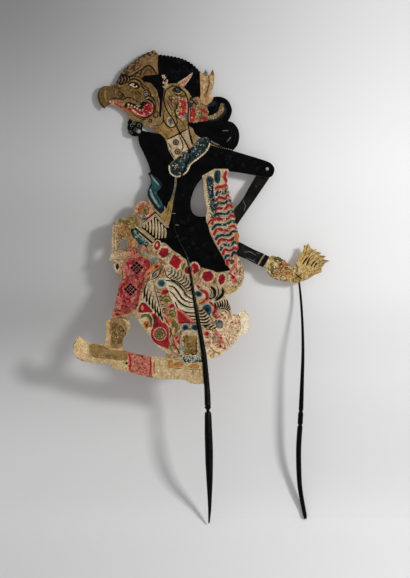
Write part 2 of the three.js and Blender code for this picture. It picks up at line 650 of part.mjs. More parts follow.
// Shoulder: peg, spacer that holds the arm clear of the rod's legs, and end washer
const shoulderSpacerFront = hideBack + clearance;
const shoulderWasherFront = upperArmBack + clearance;
const shoulderWasherBack = shoulderWasherFront + washerThickness;
add('upper_arm', upperArm(), finishes.blackHide);
add('shoulder_peg', peg(
  shoulder.x, shoulder.y, -hideBack - clearance - pegHeadHeight, pegHeadHeight, pegHeadDiameter,
  shoulderWasherBack + clearance,
), finishes.bone);
add('shoulder_spacer', washer(
  shoulder.x, shoulder.y, shoulderSpacerFront, upperArmFront - clearance, washerDiameter + 2,
), finishes.washerHide);
add('shoulder_washer', washer(
  shoulder.x, shoulder.y, shoulderWasherFront, shoulderWasherBack, washerDiameter,
), finishes.washerHide);

// Elbow and hand
const elbowWasherFront = forearmBack + clearance;
const elbowWasherBack = elbowWasherFront + washerThickness;
add('forearm_hand', forearm(), finishes.giltHide);
add('elbow_peg', peg(
  elbow.x, elbow.y, elbowHeadFront, elbowHeadHeight, pegHeadDiameter, elbowWasherBack + clearance,
), finishes.bone);
add('elbow_washer', washer(
  elbow.x, elbow.y, elbowWasherFront, elbowWasherBack, washerDiameter,
), finishes.washerHide);
add('hand_tie', handTie(), finishes.darkThread);
add('hand_rod', handRod(), finishes.horn);

export default puppet;
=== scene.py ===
# %% [markdown]
# A leather shadow puppet. One flat figure is cut and pierced from hide, painted on both
# faces and laced between the two legs of a horn rod. One arm hangs on bone pegs, and a
# second rod works the hand. The imported model gives every piece its true shape and place,
# so this lesson only dresses it: paint, beads, twisted thread and the finish of each
# surface. All outlines are written in millimetres as (x, z), the plane of the hide.

# %% Load the frame
import json
import math
import random

import bmesh
import bpy
import numpy as np
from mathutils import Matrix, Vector
from mathutils.geometry import delaunay_2d_cdt

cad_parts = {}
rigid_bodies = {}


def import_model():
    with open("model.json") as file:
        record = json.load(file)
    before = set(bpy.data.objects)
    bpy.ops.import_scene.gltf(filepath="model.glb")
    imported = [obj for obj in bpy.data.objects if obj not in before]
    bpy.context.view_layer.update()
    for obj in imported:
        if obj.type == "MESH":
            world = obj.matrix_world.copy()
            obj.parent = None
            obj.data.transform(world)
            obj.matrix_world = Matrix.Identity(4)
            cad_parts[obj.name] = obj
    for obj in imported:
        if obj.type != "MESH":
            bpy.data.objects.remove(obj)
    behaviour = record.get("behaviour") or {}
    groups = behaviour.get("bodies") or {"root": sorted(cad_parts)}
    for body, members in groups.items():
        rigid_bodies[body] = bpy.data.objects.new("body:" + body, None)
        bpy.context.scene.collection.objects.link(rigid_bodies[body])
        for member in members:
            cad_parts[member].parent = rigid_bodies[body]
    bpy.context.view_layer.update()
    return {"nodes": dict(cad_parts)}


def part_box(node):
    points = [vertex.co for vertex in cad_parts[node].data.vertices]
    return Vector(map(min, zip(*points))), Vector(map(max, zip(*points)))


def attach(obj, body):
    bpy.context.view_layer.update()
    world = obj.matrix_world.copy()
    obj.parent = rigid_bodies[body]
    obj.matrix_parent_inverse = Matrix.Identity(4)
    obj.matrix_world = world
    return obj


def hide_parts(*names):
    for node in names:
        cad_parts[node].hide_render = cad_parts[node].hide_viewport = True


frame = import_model()
nodes = frame["nodes"]
MM = 0.001

# %% [markdown]
# The camera stands square to the figure, a good two metres away, as the photograph does.
# The lens is worked out from the width that one pixel covers on the hide.

# %% Camera
PIXEL_MM = 1.48
PICTURE_PIXELS_HIGH = 578
SENSOR_MM = 36
camera_place = Vector((-5.9, -2200, 346.3)) * MM
camera_data = bpy.data.cameras.new("camera")
camera_data.sensor_fit = "VERTICAL"
camera_data.sensor_height = SENSOR_MM
camera_data.lens = SENSOR_MM * -camera_place.y / (PICTURE_PIXELS_HIGH * PIXEL_MM * MM)
camera = bpy.data.objects.new("camera", camera_data)
camera.location = camera_place
camera.rotation_euler = (math.radians(90), 0, 0)
bpy.context.scene.collection.objects.link(camera)
bpy.context.scene.camera = camera
print("lens, mm:", round(camera_data.lens, 1))

# %% [markdown]
# Every finish on the puppet is a thin coat on hide, so one builder makes them all. It
# mixes two tones with a broad noise, adds a fine grain, and lets the coat below show
# through where a third noise passes a limit: that is wear. The pattern is read from
# Object coordinates, so it runs on across neighbouring pieces. A short bump gives the
# grain, and the roughness follows the wear. Each pot of paint then only holds its two
# tones, how worn it is and the tone that lies below it.

# %% Helpers for node trees


def linear(tone):
    """A tone written as 0 to 255, as the linear colour that a shader wants."""
    shares = [c / 255 for c in tone]
    return tuple(s / 12.92 if s <= 0.04045 else ((s + 0.055) / 1.055) ** 2.4 for s in shares) + (1.0,)


def feed(tree, node, inputs):
    """Gives a node's inputs plain values, or joins them to the outputs of other nodes."""
    for label, value in inputs.items():
        if isinstance(value, bpy.types.NodeSocket):
            tree.links.new(value, node.inputs[label])
        else:
            node.inputs[label].default_value = value


def add_node(tree, kind, inputs, **settings):
    node = tree.nodes.new(kind)
    for key, value in settings.items():
        setattr(node, key, value)
    feed(tree, node, inputs)
    return node


class Recipe:
    """A material's node tree, with short ways to add what every finish needs."""

    def __init__(self, name):
        self.material = bpy.data.materials.new(name)
        self.material.use_nodes = True
        self.tree = self.material.node_tree
        self.shader = self.tree.nodes["Principled BSDF"]
        self.place = self.add("ShaderNodeTexCoord", {}).outputs["Object"]

    def add(self, kind, inputs, **settings):
        return add_node(self.tree, kind, inputs, **settings)

    def noise(self, size_mm, detail=4, stretch=(1, 1, 1), distortion=0.0):
        scale = [s / (size_mm * MM) for s in stretch]
        mapping = self.add("ShaderNodeMapping", {"Vector": self.place, "Scale": scale})
        given = {"Vector": mapping.outputs["Vector"], "Scale": 1, "Detail": detail, "Distortion": distortion}
        return self.add("ShaderNodeTexNoise", given).outputs["Fac"]

    def spread(self, value, low, high, to_low=0.0, to_high=1.0):
        limits = {"From Min": low, "From Max": high, "To Min": to_low, "To Max": to_high}
        node = self.add("ShaderNodeMapRange", {"Value": value, **limits}, interpolation_type="SMOOTHSTEP")
        return node.outputs["Result"]

    def mix(self, share, first, second):
        """Two colours mixed. The colour sockets of this node are the seventh and eighth."""
        return self.add("ShaderNodeMix", {0: share, 6: first, 7: second}, data_type="RGBA").outputs[2]

    def finish(self, colour, roughness, shine, height, depth_mm, strength):
        """Joins colour, roughness and a short bump to the shader."""
        given = {"Height": height, "Distance": depth_mm * MM, "Strength": strength}
        normal = self.add("ShaderNodeBump", given).outputs["Normal"]
        given = {"Base Color": colour, "Roughness": roughness, "Specular IOR Level": shine, "Normal": normal}
        feed(self.tree, self.shader, given)
        return self.material

# %% A coat of pigment or dye on hide
PARCHMENT = (150, 124, 88)
STROKE_MM, GRAIN_MM, SCUFF_MM = 2.7, 1.1, 4.2
GRAIN_DEPTH_MM, GRAIN_STRENGTH = 0.12, 0.35
DUST_SHARE = 0.35
# Between which values of its noise each effect sets in.
PATCHES, DARK_STROKES, LIGHT_STROKES = (0.35, 0.66), (0.36, 0.52), (0.52, 0.68)
DUST, ROUGHER = (0.52, 0.75), (0.3, 0.75)


def coat(name, tone, second, wear=0.3, under=PARCHMENT, patch_mm=14, rough=0.62, shine=0.14, mottle=0.4):
    recipe = Recipe(name)
    broad = recipe.spread(recipe.noise(patch_mm, detail=5), *PATCHES)
    colour = recipe.mix(broad, linear(tone), linear(second))
    deep = linear([0.55 * c for c in second])
    light = linear([min(255, 1.22 * c + 6) for c in tone])
    strokes = recipe.noise(STROKE_MM, distortion=0.3)
    colour = recipe.mix(recipe.spread(strokes, *DARK_STROKES, mottle, 0), colour, deep)
    colour = recipe.mix(recipe.spread(strokes, *LIGHT_STROKES, 0, mottle), colour, light)
    grain = recipe.noise(GRAIN_MM, detail=3)
    dusty = recipe.mix(DUST_SHARE, colour, linear(under))
    colour = recipe.mix(recipe.spread(grain, *DUST, 0, 0.5), colour, dusty)
    scuffs = recipe.noise(SCUFF_MM, detail=6, distortion=0.6)
    # The more worn, the lower the limit at which the coat gives way.
    worn = recipe.spread(scuffs, 0.73 - 0.25 * wear, 0.78 - 0.22 * wear)
    colour = recipe.mix(worn, colour, linear(under))
    roughness = recipe.spread(scuffs, *ROUGHER, rough - 0.1, rough + 0.2)
    return recipe.finish(colour, roughness, shine, grain, GRAIN_DEPTH_MM, GRAIN_STRENGTH)

# %% The painter's pots
finishes = {}


def pot(name, tone, second, wear, under, **more):
    """A finish by its name: its two tones, how worn it is, and the tone below it."""
    finishes[name] = coat(name, tone, second, wear, under, **more)


# The first four pots, skin to umber, are for the face. Their darker tones are partly the face's own colour
# and partly painted shade for the weaker light on the head.
pot("skin", (116, 87, 46), (98, 72, 34), 0.2, (144, 112, 64))
pot("nose", (84, 62, 32), (68, 48, 24), 0.1, (116, 90, 52))
pot("olive_gold", (92, 72, 40), (74, 56, 28), 0.15, (128, 102, 58))
pot("umber", (62, 44, 22), (46, 33, 17), 0.1, (92, 70, 40))
pot("cap", (120, 90, 62), (98, 72, 44), 0.3, (148, 116, 84), patch_mm=7)
pot("fawn", (122, 99, 68), (102, 80, 52), 0.3, (146, 122, 88))
pot("tan", (138, 110, 76), (112, 86, 54), 0.3, (160, 134, 100))
pot("gold_tan", (146, 116, 66), (118, 90, 46), 0.25, (166, 138, 92))
pot("gold_dark", (102, 76, 36), (84, 60, 28), 0.2, (130, 100, 56))
pot("gold_light", (190, 160, 102), (164, 132, 76), 0.2, (206, 182, 134))
pot("feather", (176, 140, 94), (150, 114, 72), 0.25, (194, 162, 116), patch_mm=8)
pot("cream", (184, 164, 132), (158, 135, 100), 0.3, (198, 182, 152))
pot("sash_cream", (192, 172, 142), (168, 146, 112), 0.25, (206, 190, 160))
pot("lobe_cream", (238, 218, 182), (220, 198, 160), 0.2, (232, 216, 186))
pot("toe_cream", (218, 186, 138), (198, 166, 120), 0.3, (218, 192, 150))
pot("leg_cream", (186, 157, 114), (162, 132, 90), 0.3, (200, 176, 136))
pot("bone_white", (208, 194, 164), (182, 164, 130), 0.3, (220, 204, 174))
pot("skirt_ground", (166, 142, 108), (134, 108, 74), 0.35, (186, 164, 128), patch_mm=12)
pot("brown_ground", (126, 92, 58), (106, 74, 42), 0.3, (152, 120, 84), patch_mm=9)
pot("sand", (222, 192, 154), (200, 164, 124), 0.3, (212, 188, 148), patch_mm=10)
pot("strip_ground", (190, 165, 124), (176, 149, 106), 0.15, (204, 184, 148), patch_mm=12)
pot("black", (4, 4, 5), (9, 9, 10), 0.0, (34, 34, 33), rough=0.6, shine=0.02, mottle=0.15)
pot("blue_black", (8, 10, 14), (14, 17, 23), 0.02, (36, 40, 44), rough=0.55, shine=0.04, mottle=0.2)
pot("ink", (13, 10, 8), (26, 19, 13), 0.03, (74, 56, 36), shine=0.05, mottle=0.2)
pot("smoke", (112, 112, 105), (84, 84, 80), 0.3, (140, 134, 118))
pot("smoke_dark", (28, 29, 30), (17, 18, 19), 0.15, (56, 54, 50), shine=0.06)
pot("teal", (34, 60, 64), (20, 40, 46), 0.15, (104, 114, 100))
pot("pale_teal", (126, 138, 128), (98, 112, 108), 0.3, (164, 158, 134))
pot("sea_blue", (36, 78, 76), (22, 54, 56), 0.1, (96, 116, 116))
pot("night_blue", (18, 28, 42), (11, 17, 28), 0.1, (56, 66, 72), shine=0.08)
pot("night_green", (20, 32, 30), (13, 22, 20), 0.1, (56, 68, 58), shine=0.08)
pot("red", (158, 30, 34), (124, 20, 26), 0.12, (184, 120, 100))
pot("crimson", (146, 6, 22), (108, 4, 16), 0.02, (160, 60, 60))
pot("faded_red", (160, 74, 72), (128, 48, 50), 0.25, (176, 104, 92), patch_mm=9, mottle=0.55)
pot("strip_red", (182, 118, 96), (162, 94, 76), 0.3, (188, 148, 120), patch_mm=7)
pot("dark_red", (98, 16, 20), (68, 11, 14), 0.12, (136, 80, 62))
pot("pink", (182, 116, 94), (152, 84, 68), 0.3, (192, 156, 124))
pot("orange", (176, 104, 50), (144, 76, 34), 0.2, (186, 146, 100))
pot("orange_brown", (170, 118, 64), (142, 92, 44), 0.3, (184, 150, 106))
pot("olive", (102, 96, 46), (74, 72, 32), 0.22, (150, 134, 92))
pot("olive_grey", (112, 106, 88), (86, 80, 64), 0.35, (150, 140, 114))
pot("brown", (116, 84, 46), (88, 60, 31), 0.2, (152, 124, 86))
pot("brown_stain", (124, 96, 58), (148, 118, 78), 0.4, (164, 140, 102), patch_mm=9)
pot("gilt", (190, 160, 102), (158, 126, 72), 0.3, (204, 178, 126), rough=0.5)
# The sleeve's near-black is lifted a little towards grey: painted sheen on top of its black paint.
pot("sleeve", (12, 11, 9), (28, 26, 21), 0.1, (72, 68, 56), rough=0.55, shine=0.03, mottle=0.2)
pot("pale_cuff", (150, 138, 112), (126, 112, 84), 0.2, (176, 164, 136))
print("finishes:", len(finishes))

# %% [markdown]
# The painter works with a few kinds of mark: a smooth closed field, a brush line that
# thins towards its ends, a disc, a leaf, a row of dots, rungs between two guide lines,
# and the small uneven spots of old paint. Each helper below gives one or more closed
# outlines in millimetres.

# %% Smooth fields and brush lines
GUIDE_STEPS = 6


def spline(points, steps=4, closed=False):
    """A smooth line through the points, with a few steps between each pair."""
    given = [Vector(p) for p in points]
    count = len(given)
    spans = count if closed else count - 1
    made = []
    for i in range(spans):
        p1, p2 = given[i], given[(i + 1) % count]
        p0 = given[i - 1] if closed or i > 0 else p1 * 2 - p2
        p3 = given[(i + 2) % count] if closed or i + 2 < count else p2 * 2 - p1
        for step in range(steps):
            t = step / steps
            made.append(0.5 * (
                2 * p1 + (p2 - p0) * t + (2 * p0 - 5 * p1 + 4 * p2 - p3) * t * t
                + (3 * p1 - p0 - 3 * p2 + p3) * t ** 3
            ))
    if not closed:
        made.append(given[-1])
    return made


def field(points):
    """A closed field with a smooth edge."""
    return spline(points, 3, closed=True)


def spaced(points, count):
    """Places at equal distances along a line, each with its direction."""
    places = [Vector(p) for p in points]
    reach = [0.0]
    for a, b in zip(places, places[1:]):
        reach.append(reach[-1] + (b - a).length)
    made = []
    span = 0
    for i in range(count):
        target = reach[-1] * (i / (count - 1) if count > 1 else 0.5)
        while span < len(places) - 2 and reach[span + 1] < target:
            span += 1
        step = places[span + 1] - places[span]
        share = (target - reach[span]) / max(1e-9, step.length)
        made.append((places[span] + step * share, step.normalized()))
    return made


def line(points, width=1.3, ends=0.35, steps=4):
    """A brush line that narrows to a share of its width at both ends."""
    middle = spaced(spline(points, steps), max(4, steps * (len(points) - 1)))
    last = len(middle) - 1
    left, right = [], []
    for i, (place, along) in enumerate(middle):
        fullness = ends + (1 - ends) * math.sin(math.pi * i / last) ** 0.6
        side = Vector((-along.y, along.x)) * (width * fullness / 2)
        left.append(place + side)
        right.append(place - side)
    return left + right[::-1]

# %% Dots, leaves, rings and curls
LEAF_STEPS, CURL_STEPS, CURL_TIGHTENS = 8, 10, 0.78


def oval(x, z, half_long, half_wide, turn=0, sides=16):
    c, s = math.cos(math.radians(turn)), math.sin(math.radians(turn))
    made = []
    for i in range(sides):
        a = 2 * math.pi * i / sides
        u, v = half_long * math.cos(a), half_wide * math.sin(a)
        made.append(Vector((x + u * c - v * s, z + u * s + v * c)))
    return made


def disc(x, z, radius, sides=14):
    return oval(x, z, radius, radius, 0, sides)


def petals(x, z, reach, radius, angles):
    """Discs round a middle, at angles that the painter chose."""
    return [disc(x + reach * math.cos(a), z + reach * math.sin(a), radius) for a in angles]


def leaf(x, z, length, width, turn, bend=0.0):
    """A leaf that starts at (x, z) and points along turn, with its tip bent aside."""
    c, s = math.cos(math.radians(turn)), math.sin(math.radians(turn))
    upper, lower = [], []
    for i in range(LEAF_STEPS + 1):
        t = i / LEAF_STEPS
        half = width / 2 * math.sin(math.pi * t ** 0.8) ** 0.8
        drift = bend * length * t * t
        for side, store in ((half, upper), (-half, lower)):
            u, v = length * t, drift + side
            store.append(Vector((x + u * c - v * s, z + u * s + v * c)))
    return upper + lower[-2:0:-1]


def ring(x, z, radius, width=1.2, sides=16):
    """A painted ring as short pieces, so that its middle stays open."""
    marks = []
    for i in range(sides):
        a, b = (2 * math.pi * (i + k) / sides for k in (0, 1))
        corners = [(a, 1), (b, 1), (b, -1), (a, -1)]
        marks.append([
            Vector((x + (radius + k * width / 2) * math.cos(t), z + (radius + k * width / 2) * math.sin(t)))
            for t, k in corners
        ])
    return marks


def curl(x, z, radius, start, turns=1.2, width=1.2):
    """A brush line wound inwards."""
    points = []
    for i in range(CURL_STEPS + 1):
        t = i / CURL_STEPS
        a = math.radians(start) + 2 * math.pi * turns * t
        r = radius * (1 - CURL_TIGHTENS * t)
        points.append((x + r * math.cos(a), z + r * math.sin(a)))
    return line(points, width, ends=0.5, steps=2)


def dots(points, count, radius, sides=8):
    return [disc(p.x, p.y, radius, sides) for p, along in spaced(spline(points, GUIDE_STEPS), count)]

# %% Marks between two guide lines
FLOW_PLACES = 9


def abreast(first, second, count, steps=GUIDE_STEPS):
    """Pairs of places that lie at the same share of two guide lines."""
    sides = [spaced(spline(side, steps), count) for side in (first, second)]
    return [(a, b) for (a, along), (b, other) in zip(*sides)]


def rungs(first, second, count, width=1.1, bow=0.0):
    """Brush lines from one guide line across to another."""
    marks = []
    for a, b in abreast(first, second, count):
        middle = (a + b) / 2 + Vector((-(b - a).y, (b - a).x)) * bow
        marks.append(line([a, middle, b], width, ends=0.5))
    return marks


def band(first, second, low, high, count=12):
    """The strip between two shares of the way from one guide line to another."""
    pairs = abreast(first, second, count)
    return [a.lerp(b, low) for a, b in pairs] + [a.lerp(b, high) for a, b in pairs[::-1]]


def flow(first, second, count, width=1.2):
    """Lines that run along between two guide lines, at even shares."""
    pairs = abreast(first, second, FLOW_PLACES, steps=5)
    shares = [i / (count - 1) for i in range(count)]
    return [line([a.lerp(b, share) for a, b in pairs], width, ends=0.4, steps=2) for share in shares]


# %% Small uneven spots of old paint
SPOT_SIDES, TRIES_A_SPOT = 7, 6


def winding(outline, x, z):
    """How often the outline goes round each place (x, z)."""
    total = np.zeros(len(x), int)
    ends = outline[1:] + outline[:1]
    for a, b in zip(outline, ends):
        if a.y == b.y:
            continue
        left = (b.x - a.x) * (z - a.y) - (x - a.x) * (b.y - a.y)
        total += ((a.y <= z) & (b.y > z) & (left > 0)).astype(int)
        total -= ((a.y > z) & (b.y <= z) & (left < 0)).astype(int)
    return total


def speckle(outline, count, size, seed):
    """Small uneven spots at random places inside an outline."""
    draw = random.Random(seed)
    edge = [Vector(p) for p in outline]
    low_x, high_x = min(p.x for p in edge), max(p.x for p in edge)
    low_z, high_z = min(p.y for p in edge), max(p.y for p in edge)
    marks = []
    for attempt in range(count * TRIES_A_SPOT):
        x, z = draw.uniform(low_x, high_x), draw.uniform(low_z, high_z)
        long, wide = size * draw.uniform(0.35, 0.8), size * draw.uniform(0.2, 0.45)
        turn = draw.uniform(0, 180)
        if len(marks) < count and winding(edge, np.array([x]), np.array([z]))[0]:
            marks.append(oval(x, z, long, wide, turn, SPOT_SIDES))
    return marks

# %% [markdown]
# The picture itself is written down mark by mark, in the order in which the painter laid
# them, because each mark covers what it lies on. One row is one mark:
#
#     finish  kind  sizes:  points
#
# The points are x,z in millimetres. A plus sign in place of the finish means the finish of
# the row above, and a row that starts with blanks goes on with the points of that row. A
# row such as `shawl = field: ...` names an outline, and later rows use the name in place of
# its points. Where a mark lies between two guide lines, a slash parts them. A shape keeps
# its corners, and a field rounds them. A grade lays an outline smaller and smaller in the
# finishes between its arrows. The other sizes come in the order of the helper's own values:
# for a line its width and how full its ends are, for spots their number, size and seed.

# %% Read the rows of a picture
named = {}
AT_A_PLACE = {"disc": disc, "oval": oval, "leaf": leaf, "ring": ring, "curl": curl}
ALONG_A_PATH = {
    "shape": list, "between": lambda first, second: first + second[::-1], "field": field, "line": line,
    "dots": dots, "rungs": rungs, "band": band, "flow": flow, "speckle": speckle,
}


def number(word):
    return float(word) if "." in word else int(word)


def path(text):
    """The places of a row, or the named outline that it asks for."""
    text = text.strip()
    return named.get(text) or [tuple(map(number, pair.split(","))) for pair in text.split()]


def marks_of(kind, sizes, places):
    """The marks of one row: one for each place, or a single one along all of them."""
    guides = [path(part) for part in places.split("/")]
    sizes = [number(size) for size in sizes]
    if kind in AT_A_PLACE:
        return [AT_A_PLACE[kind](x, z, *sizes) for x, z in guides[0]]
    return [ALONG_A_PATH[kind](*guides, *sizes)]


class Painting:
    """Coats laid on one sheet in order. Each covers what it lies on."""

    def __init__(self):
        self.marks = []

    def lay(self, finish, *outlines):
        for outline in outlines:
            several = outline and not isinstance(outline[0], (Vector, tuple))
            for one in outline if several else [outline]:
                self.marks.append((finish, [Vector(p) for p in one]))

    def grade(self, names, outline, shrink):
        """The same field laid smaller and smaller, each time in the next finish."""
        heart = sum((Vector(p) for p in outline), Vector((0, 0))) / len(outline)
        for step, finish in enumerate(names):
            self.lay(finish, [heart.lerp(Vector(p), shrink ** step) for p in outline])

    def draw(self, text):
        """Lays the rows of a picture."""
        finish = None
        for row in text.strip().replace("\n    ", " ").splitlines():
            head, places = row.split(":")
            first, kind, *sizes = head.split()
            if kind == "=":
                named[first] = marks_of(sizes[0], sizes[1:], places)[0]
                continue
            finish = finish if first == "+" else first
            if kind == "grade":
                self.grade(finish.split(">"), path(places), number(sizes[0]))
            else:
                self.lay(finish, *marks_of(kind, sizes, places))
        print("marks so far:", len(self.marks))

# %% [markdown]
# A coat can't simply be laid over another as a second sheet: a few hundredths of a
# millimetre apart, they would flicker through each other. So the whole picture is first
# split flat, along every edge of every mark and of the hide itself, into small
# triangles. Each triangle then goes to the last mark that covers it, and triangles that
# lie over a hole or past the edge are dropped. What is left for each finish becomes one
# closed skin that stands a few hundredths of a millimetre proud on both faces.

# %% Find the cut edges of a sheet


def sheet_loops(node, inset_mm=0.05):
    """The cut edges of a flat node as closed loops, drawn in by a hair."""
    mesh = bmesh.new()
    mesh.from_mesh(nodes[node].data)
    bmesh.ops.remove_doubles(mesh, verts=mesh.verts, dist=1e-7)
    following = {}
    for face in mesh.faces:
        if face.normal.y > -0.9:
            continue
        for loop in face.loops:
            twin = loop.link_loop_radial_next.face
            if twin.normal.y > -0.9:
                following[loop.vert.index] = loop.link_loop_next.vert.index
    places = {v.index: Vector((v.co.x, v.co.z)) / MM for v in mesh.verts}
    mesh.free()
    loops = []
    while following:
        start, at = following.popitem()
        walk = [start]
        while at != start:
            walk.append(at)
            at = following.pop(at)
        loops.append([places[i] for i in walk])
    drawn_in = []
    for loop in loops:
        points = []
        for before, here, after in zip(loop[-1:] + loop[:-1], loop, loop[1:] + loop[:1]):
            run = (after - before).normalized()
            points.append(here + Vector((-run.y, run.x)) * inset_mm)
        drawn_in.append(points)
    return drawn_in

# %% Split a picture flat


def split_flat(painting, loops):
    """All triangles of the picture, and for each the finish that shows there."""
    outlines = loops + [outline for finish, outline in painting.marks]
    points, edges = [], []
    for outline in outlines:
        first = len(points)
        points += outline
        edges += [(first + i, first + (i + 1) % len(outline)) for i in range(len(outline))]
    places, made_edges, faces = delaunay_2d_cdt(points, edges, [], 0, 1e-3, False)[:3]
    places = np.array([(p.x, p.y) for p in places])
    faces = np.array(faces)
    x, z = places[faces].mean(axis=1).T
    inside = np.zeros(len(x), int)
    for loop in loops:
        inside += winding(loop, x, z)
    shown = np.full(len(x), -1)
    order = {name: i for i, name in enumerate(finishes)}
    for finish, outline in painting.marks:
        low_x, high_x = min(p.x for p in outline), max(p.x for p in outline)
        low_z, high_z = min(p.y for p in outline), max(p.y for p in outline)
        near = np.flatnonzero((x > low_x) & (x < high_x) & (z > low_z) & (z < high_z) & (inside != 0))
        covered = near[winding(outline, x[near], z[near]) != 0]
        shown[covered] = order[finish]
    return places, faces, shown

# %% Close a skin for each finish


def close_skin(name, places, triangles, low_y, high_y):
    """A closed plate made of flat triangles, between two depths."""
    used, triangles = np.unique(triangles, return_inverse=True)
    triangles = triangles.reshape(-1, 3)
    flat = places[used]
    count = len(used)
    verts = [(x * MM, low_y * MM, z * MM) for x, z in flat] + [(x * MM, high_y * MM, z * MM) for x, z in flat]
    sides = {}
    faces = []
    for a, b, c in triangles.tolist():
        faces.append((a, b, c))
        faces.append((a + count, c + count, b + count))
        for edge in ((a, b), (b, c), (c, a)):
            sides[edge] = True
    faces += [(b, a, a + count, b + count) for a, b in sides if (b, a) not in sides]
    mesh = bpy.data.meshes.new(name)
    mesh.from_pydata(verts, [], faces)
    piece = bpy.data.objects.new(name, mesh)
    bpy.context.scene.collection.objects.link(piece)
    return piece


PAINT_PROUD_MM = 0.06


def lay_paint(painting, node, body):
    """Turns a painting into one piece for each finish, riding on the node's body."""
    low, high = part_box(node)
    front, back = low[1] / MM - PAINT_PROUD_MM, high[1] / MM + PAINT_PROUD_MM
    places, faces, shown = split_flat(painting, sheet_loops(node))
    made = []
    for index, finish in enumerate(finishes):
        chosen = faces[shown == index]
        if len(chosen) == 0:
            continue
        piece = close_skin(f"{node}_{finish}", places, chosen, front, back)
        piece.data.materials.append(finishes[finish])
        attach(piece, body)
        made.append((finish, len(piece.data.polygons)))
    print(node, "paint:", made)

# %% [markdown]
# The head comes first. Broad fields go on before any line: skin, cap, hair, the two
# curls at the nape, the ear with its lobes, and the neck.

# %% Head: broad fields
figure = Painting()
figure.draw("""
skin shape: -170,600 -170,652 -100,664 -66,664 -64,600 -44,576 -64,567 -90,575 -125,590
umber shape: -150,604 -172,604 -172,656 -150,654 -134,648 -134,630 -146,624
beak = field: -152,611 -161,619 -165,634 -158,648 -140,649 -130,643 -134,632 -147,626
nose>gold_dark>olive_gold grade 0.82: beak
umber line 5 0.6: -165,642 -165,629 -159,618 -152,609
gold_tan line 2.4: -153,641 -154,632 -151,624
+ line 3: -104,645 -98,640 -92,639
tan line 4.5 0.6: -84,650 -76,640 -74,622 -73,606
+ field: -118,602 -104,601 -90,598 -76,598 -72,588 -86,585 -104,592 -116,596
olive line 2.4: -118,603 -108,596 -96,592 -84,590
face = shape: -150,650 -100,662 -78,640 -74,600 -90,588 -114,600 -134,628
olive_gold speckle 60 4.4 69: face
gold_tan speckle 26 3 70: face
umber speckle 44 1.5 71: face
gold_light speckle 20 1.3 72: face
gold_tan field: -74,606 -66,604 -46,580 -42,574 -60,566 -74,574 -72,590
brown line 3: -70,598 -62,588 -52,578
+ line 2.4: -74,584 -66,576 -60,570
""")

# %% Cap and its arch
figure.draw("""
cap shape: -145,647 -145,700 -74,706 -73,665 -84,661 -98,662 -108,660 -120,660 -130,652
cap_edge = shape: -138,650 -128,667 -113,680 -97,692 -79,700
cap_inner = shape: -129,652 -120,660 -108,671 -95,682 -78,692
fawn band -0.3 0.3: cap_edge / cap_inner
brown rungs 24 0.7 0.25: cap_edge / -134,652 -124,664 -110,676 -96,687 -79,696
tan speckle 40 2.6 3: -112,670 -84,698 -75,698 -75,670 -92,676
pink speckle 22 1.5 106: -112,672 -84,696 -76,696 -76,672 -92,678
cap_front = shape: -143,650 -132,668 -112,684 -106,680 -122,662 -134,648
umber speckle 44 3.4 2: cap_front
fawn speckle 24 1.8 1: cap_front
cap_rim = band -0.3 0.7: cap_edge / cap_inner
umber line 3: -140,655 -131,666 -118,678 -103,688 -88,697
+ speckle 30 4.4 111: cap_rim
brown speckle 26 1.3 4: -120,660 -84,694 -75,694 -75,668 -100,668
gold_dark field: -103,661 -100,671 -90,677 -82,672 -77,663 -90,661
brown field: -92,661 -90,668 -84,668 -79,662
ink line 2.4: -102,661 -99,671 -90,677 -83,673 -77,663
+ line 2: -122,659 -111,664 -102,670 -96,673
+ line 1.3: -118,665 -106,672 -98,679
+ line 1.1: -97,662 -94,669 -90,671 -86,668 -84,663
+ line 1.6: -110,660 -106,666 -100,664
+ line 1: -75,668 -75.5,680 -75,694
+ field: -138,654 -133,664 -124,664 -117,661 -118,655 -124,650 -132,648
fawn line 1.3: -135,650.5 -132.5,656 -134,661
+ line 1.3: -130.5,650.5 -128,656 -129.5,661
+ line 1.3: -126,650.5 -123.5,656 -125,661
+ line 1.3: -121.5,650.5 -119,656 -120.5,661
""")

# %% Hair and the two curls
figure.draw("""
black shape: -75,664 -75,700 -40,700 -12,676 -9,664 -9.5,642 -14,628 -24,628 -32,640 -44,650 -52,648
    -60,650 -66,645 -69,625 -71,600 -74,602 -73,625 -77,640 -86,651 -97,653 -101,658 -95,662 -84,663
+ field: -4,632 20,638 40,624 38,602 28,594 10,593 0,596 -4,612
+ shape: -36,592 0,597 28,596 50,592 50,560 36,549 0,560 -4,568 -14,571 -20,575 -25,584 -31,589
blue_black speckle 26 5 73: -70,696 -40,694 -14,668 -14,640 -70,664
night_blue field: 0,622 8,625 12,621 6,617 0,617
cream field: -49,648 -43,654 -33,660 -24,667 -27,659 -32,652 -37,646 -44,644
pink field: -46,649 -40,653 -32,658.5 -27,662.5 -31,655 -37,649
blaze = shape: -47,648 -36,657 -26,664 -30,655 -38,648
brown speckle 12 1.4 5: blaze
red speckle 6 1.1 6: blaze
black speckle 16 1.7 74: -50,648 -36,660 -24,668 -28,655 -38,645
cream speckle 16 3 75: -69,662 -63,662 -60,646 -68,640
pink speckle 8 2 76: -68,660 -64,660 -61,646 -67,640
tan line 3 0.6: -58,649 -50,649 -42,647 -36,642
brown dots 5 0.9: -57,649.5 -48,650 -40,647
""")

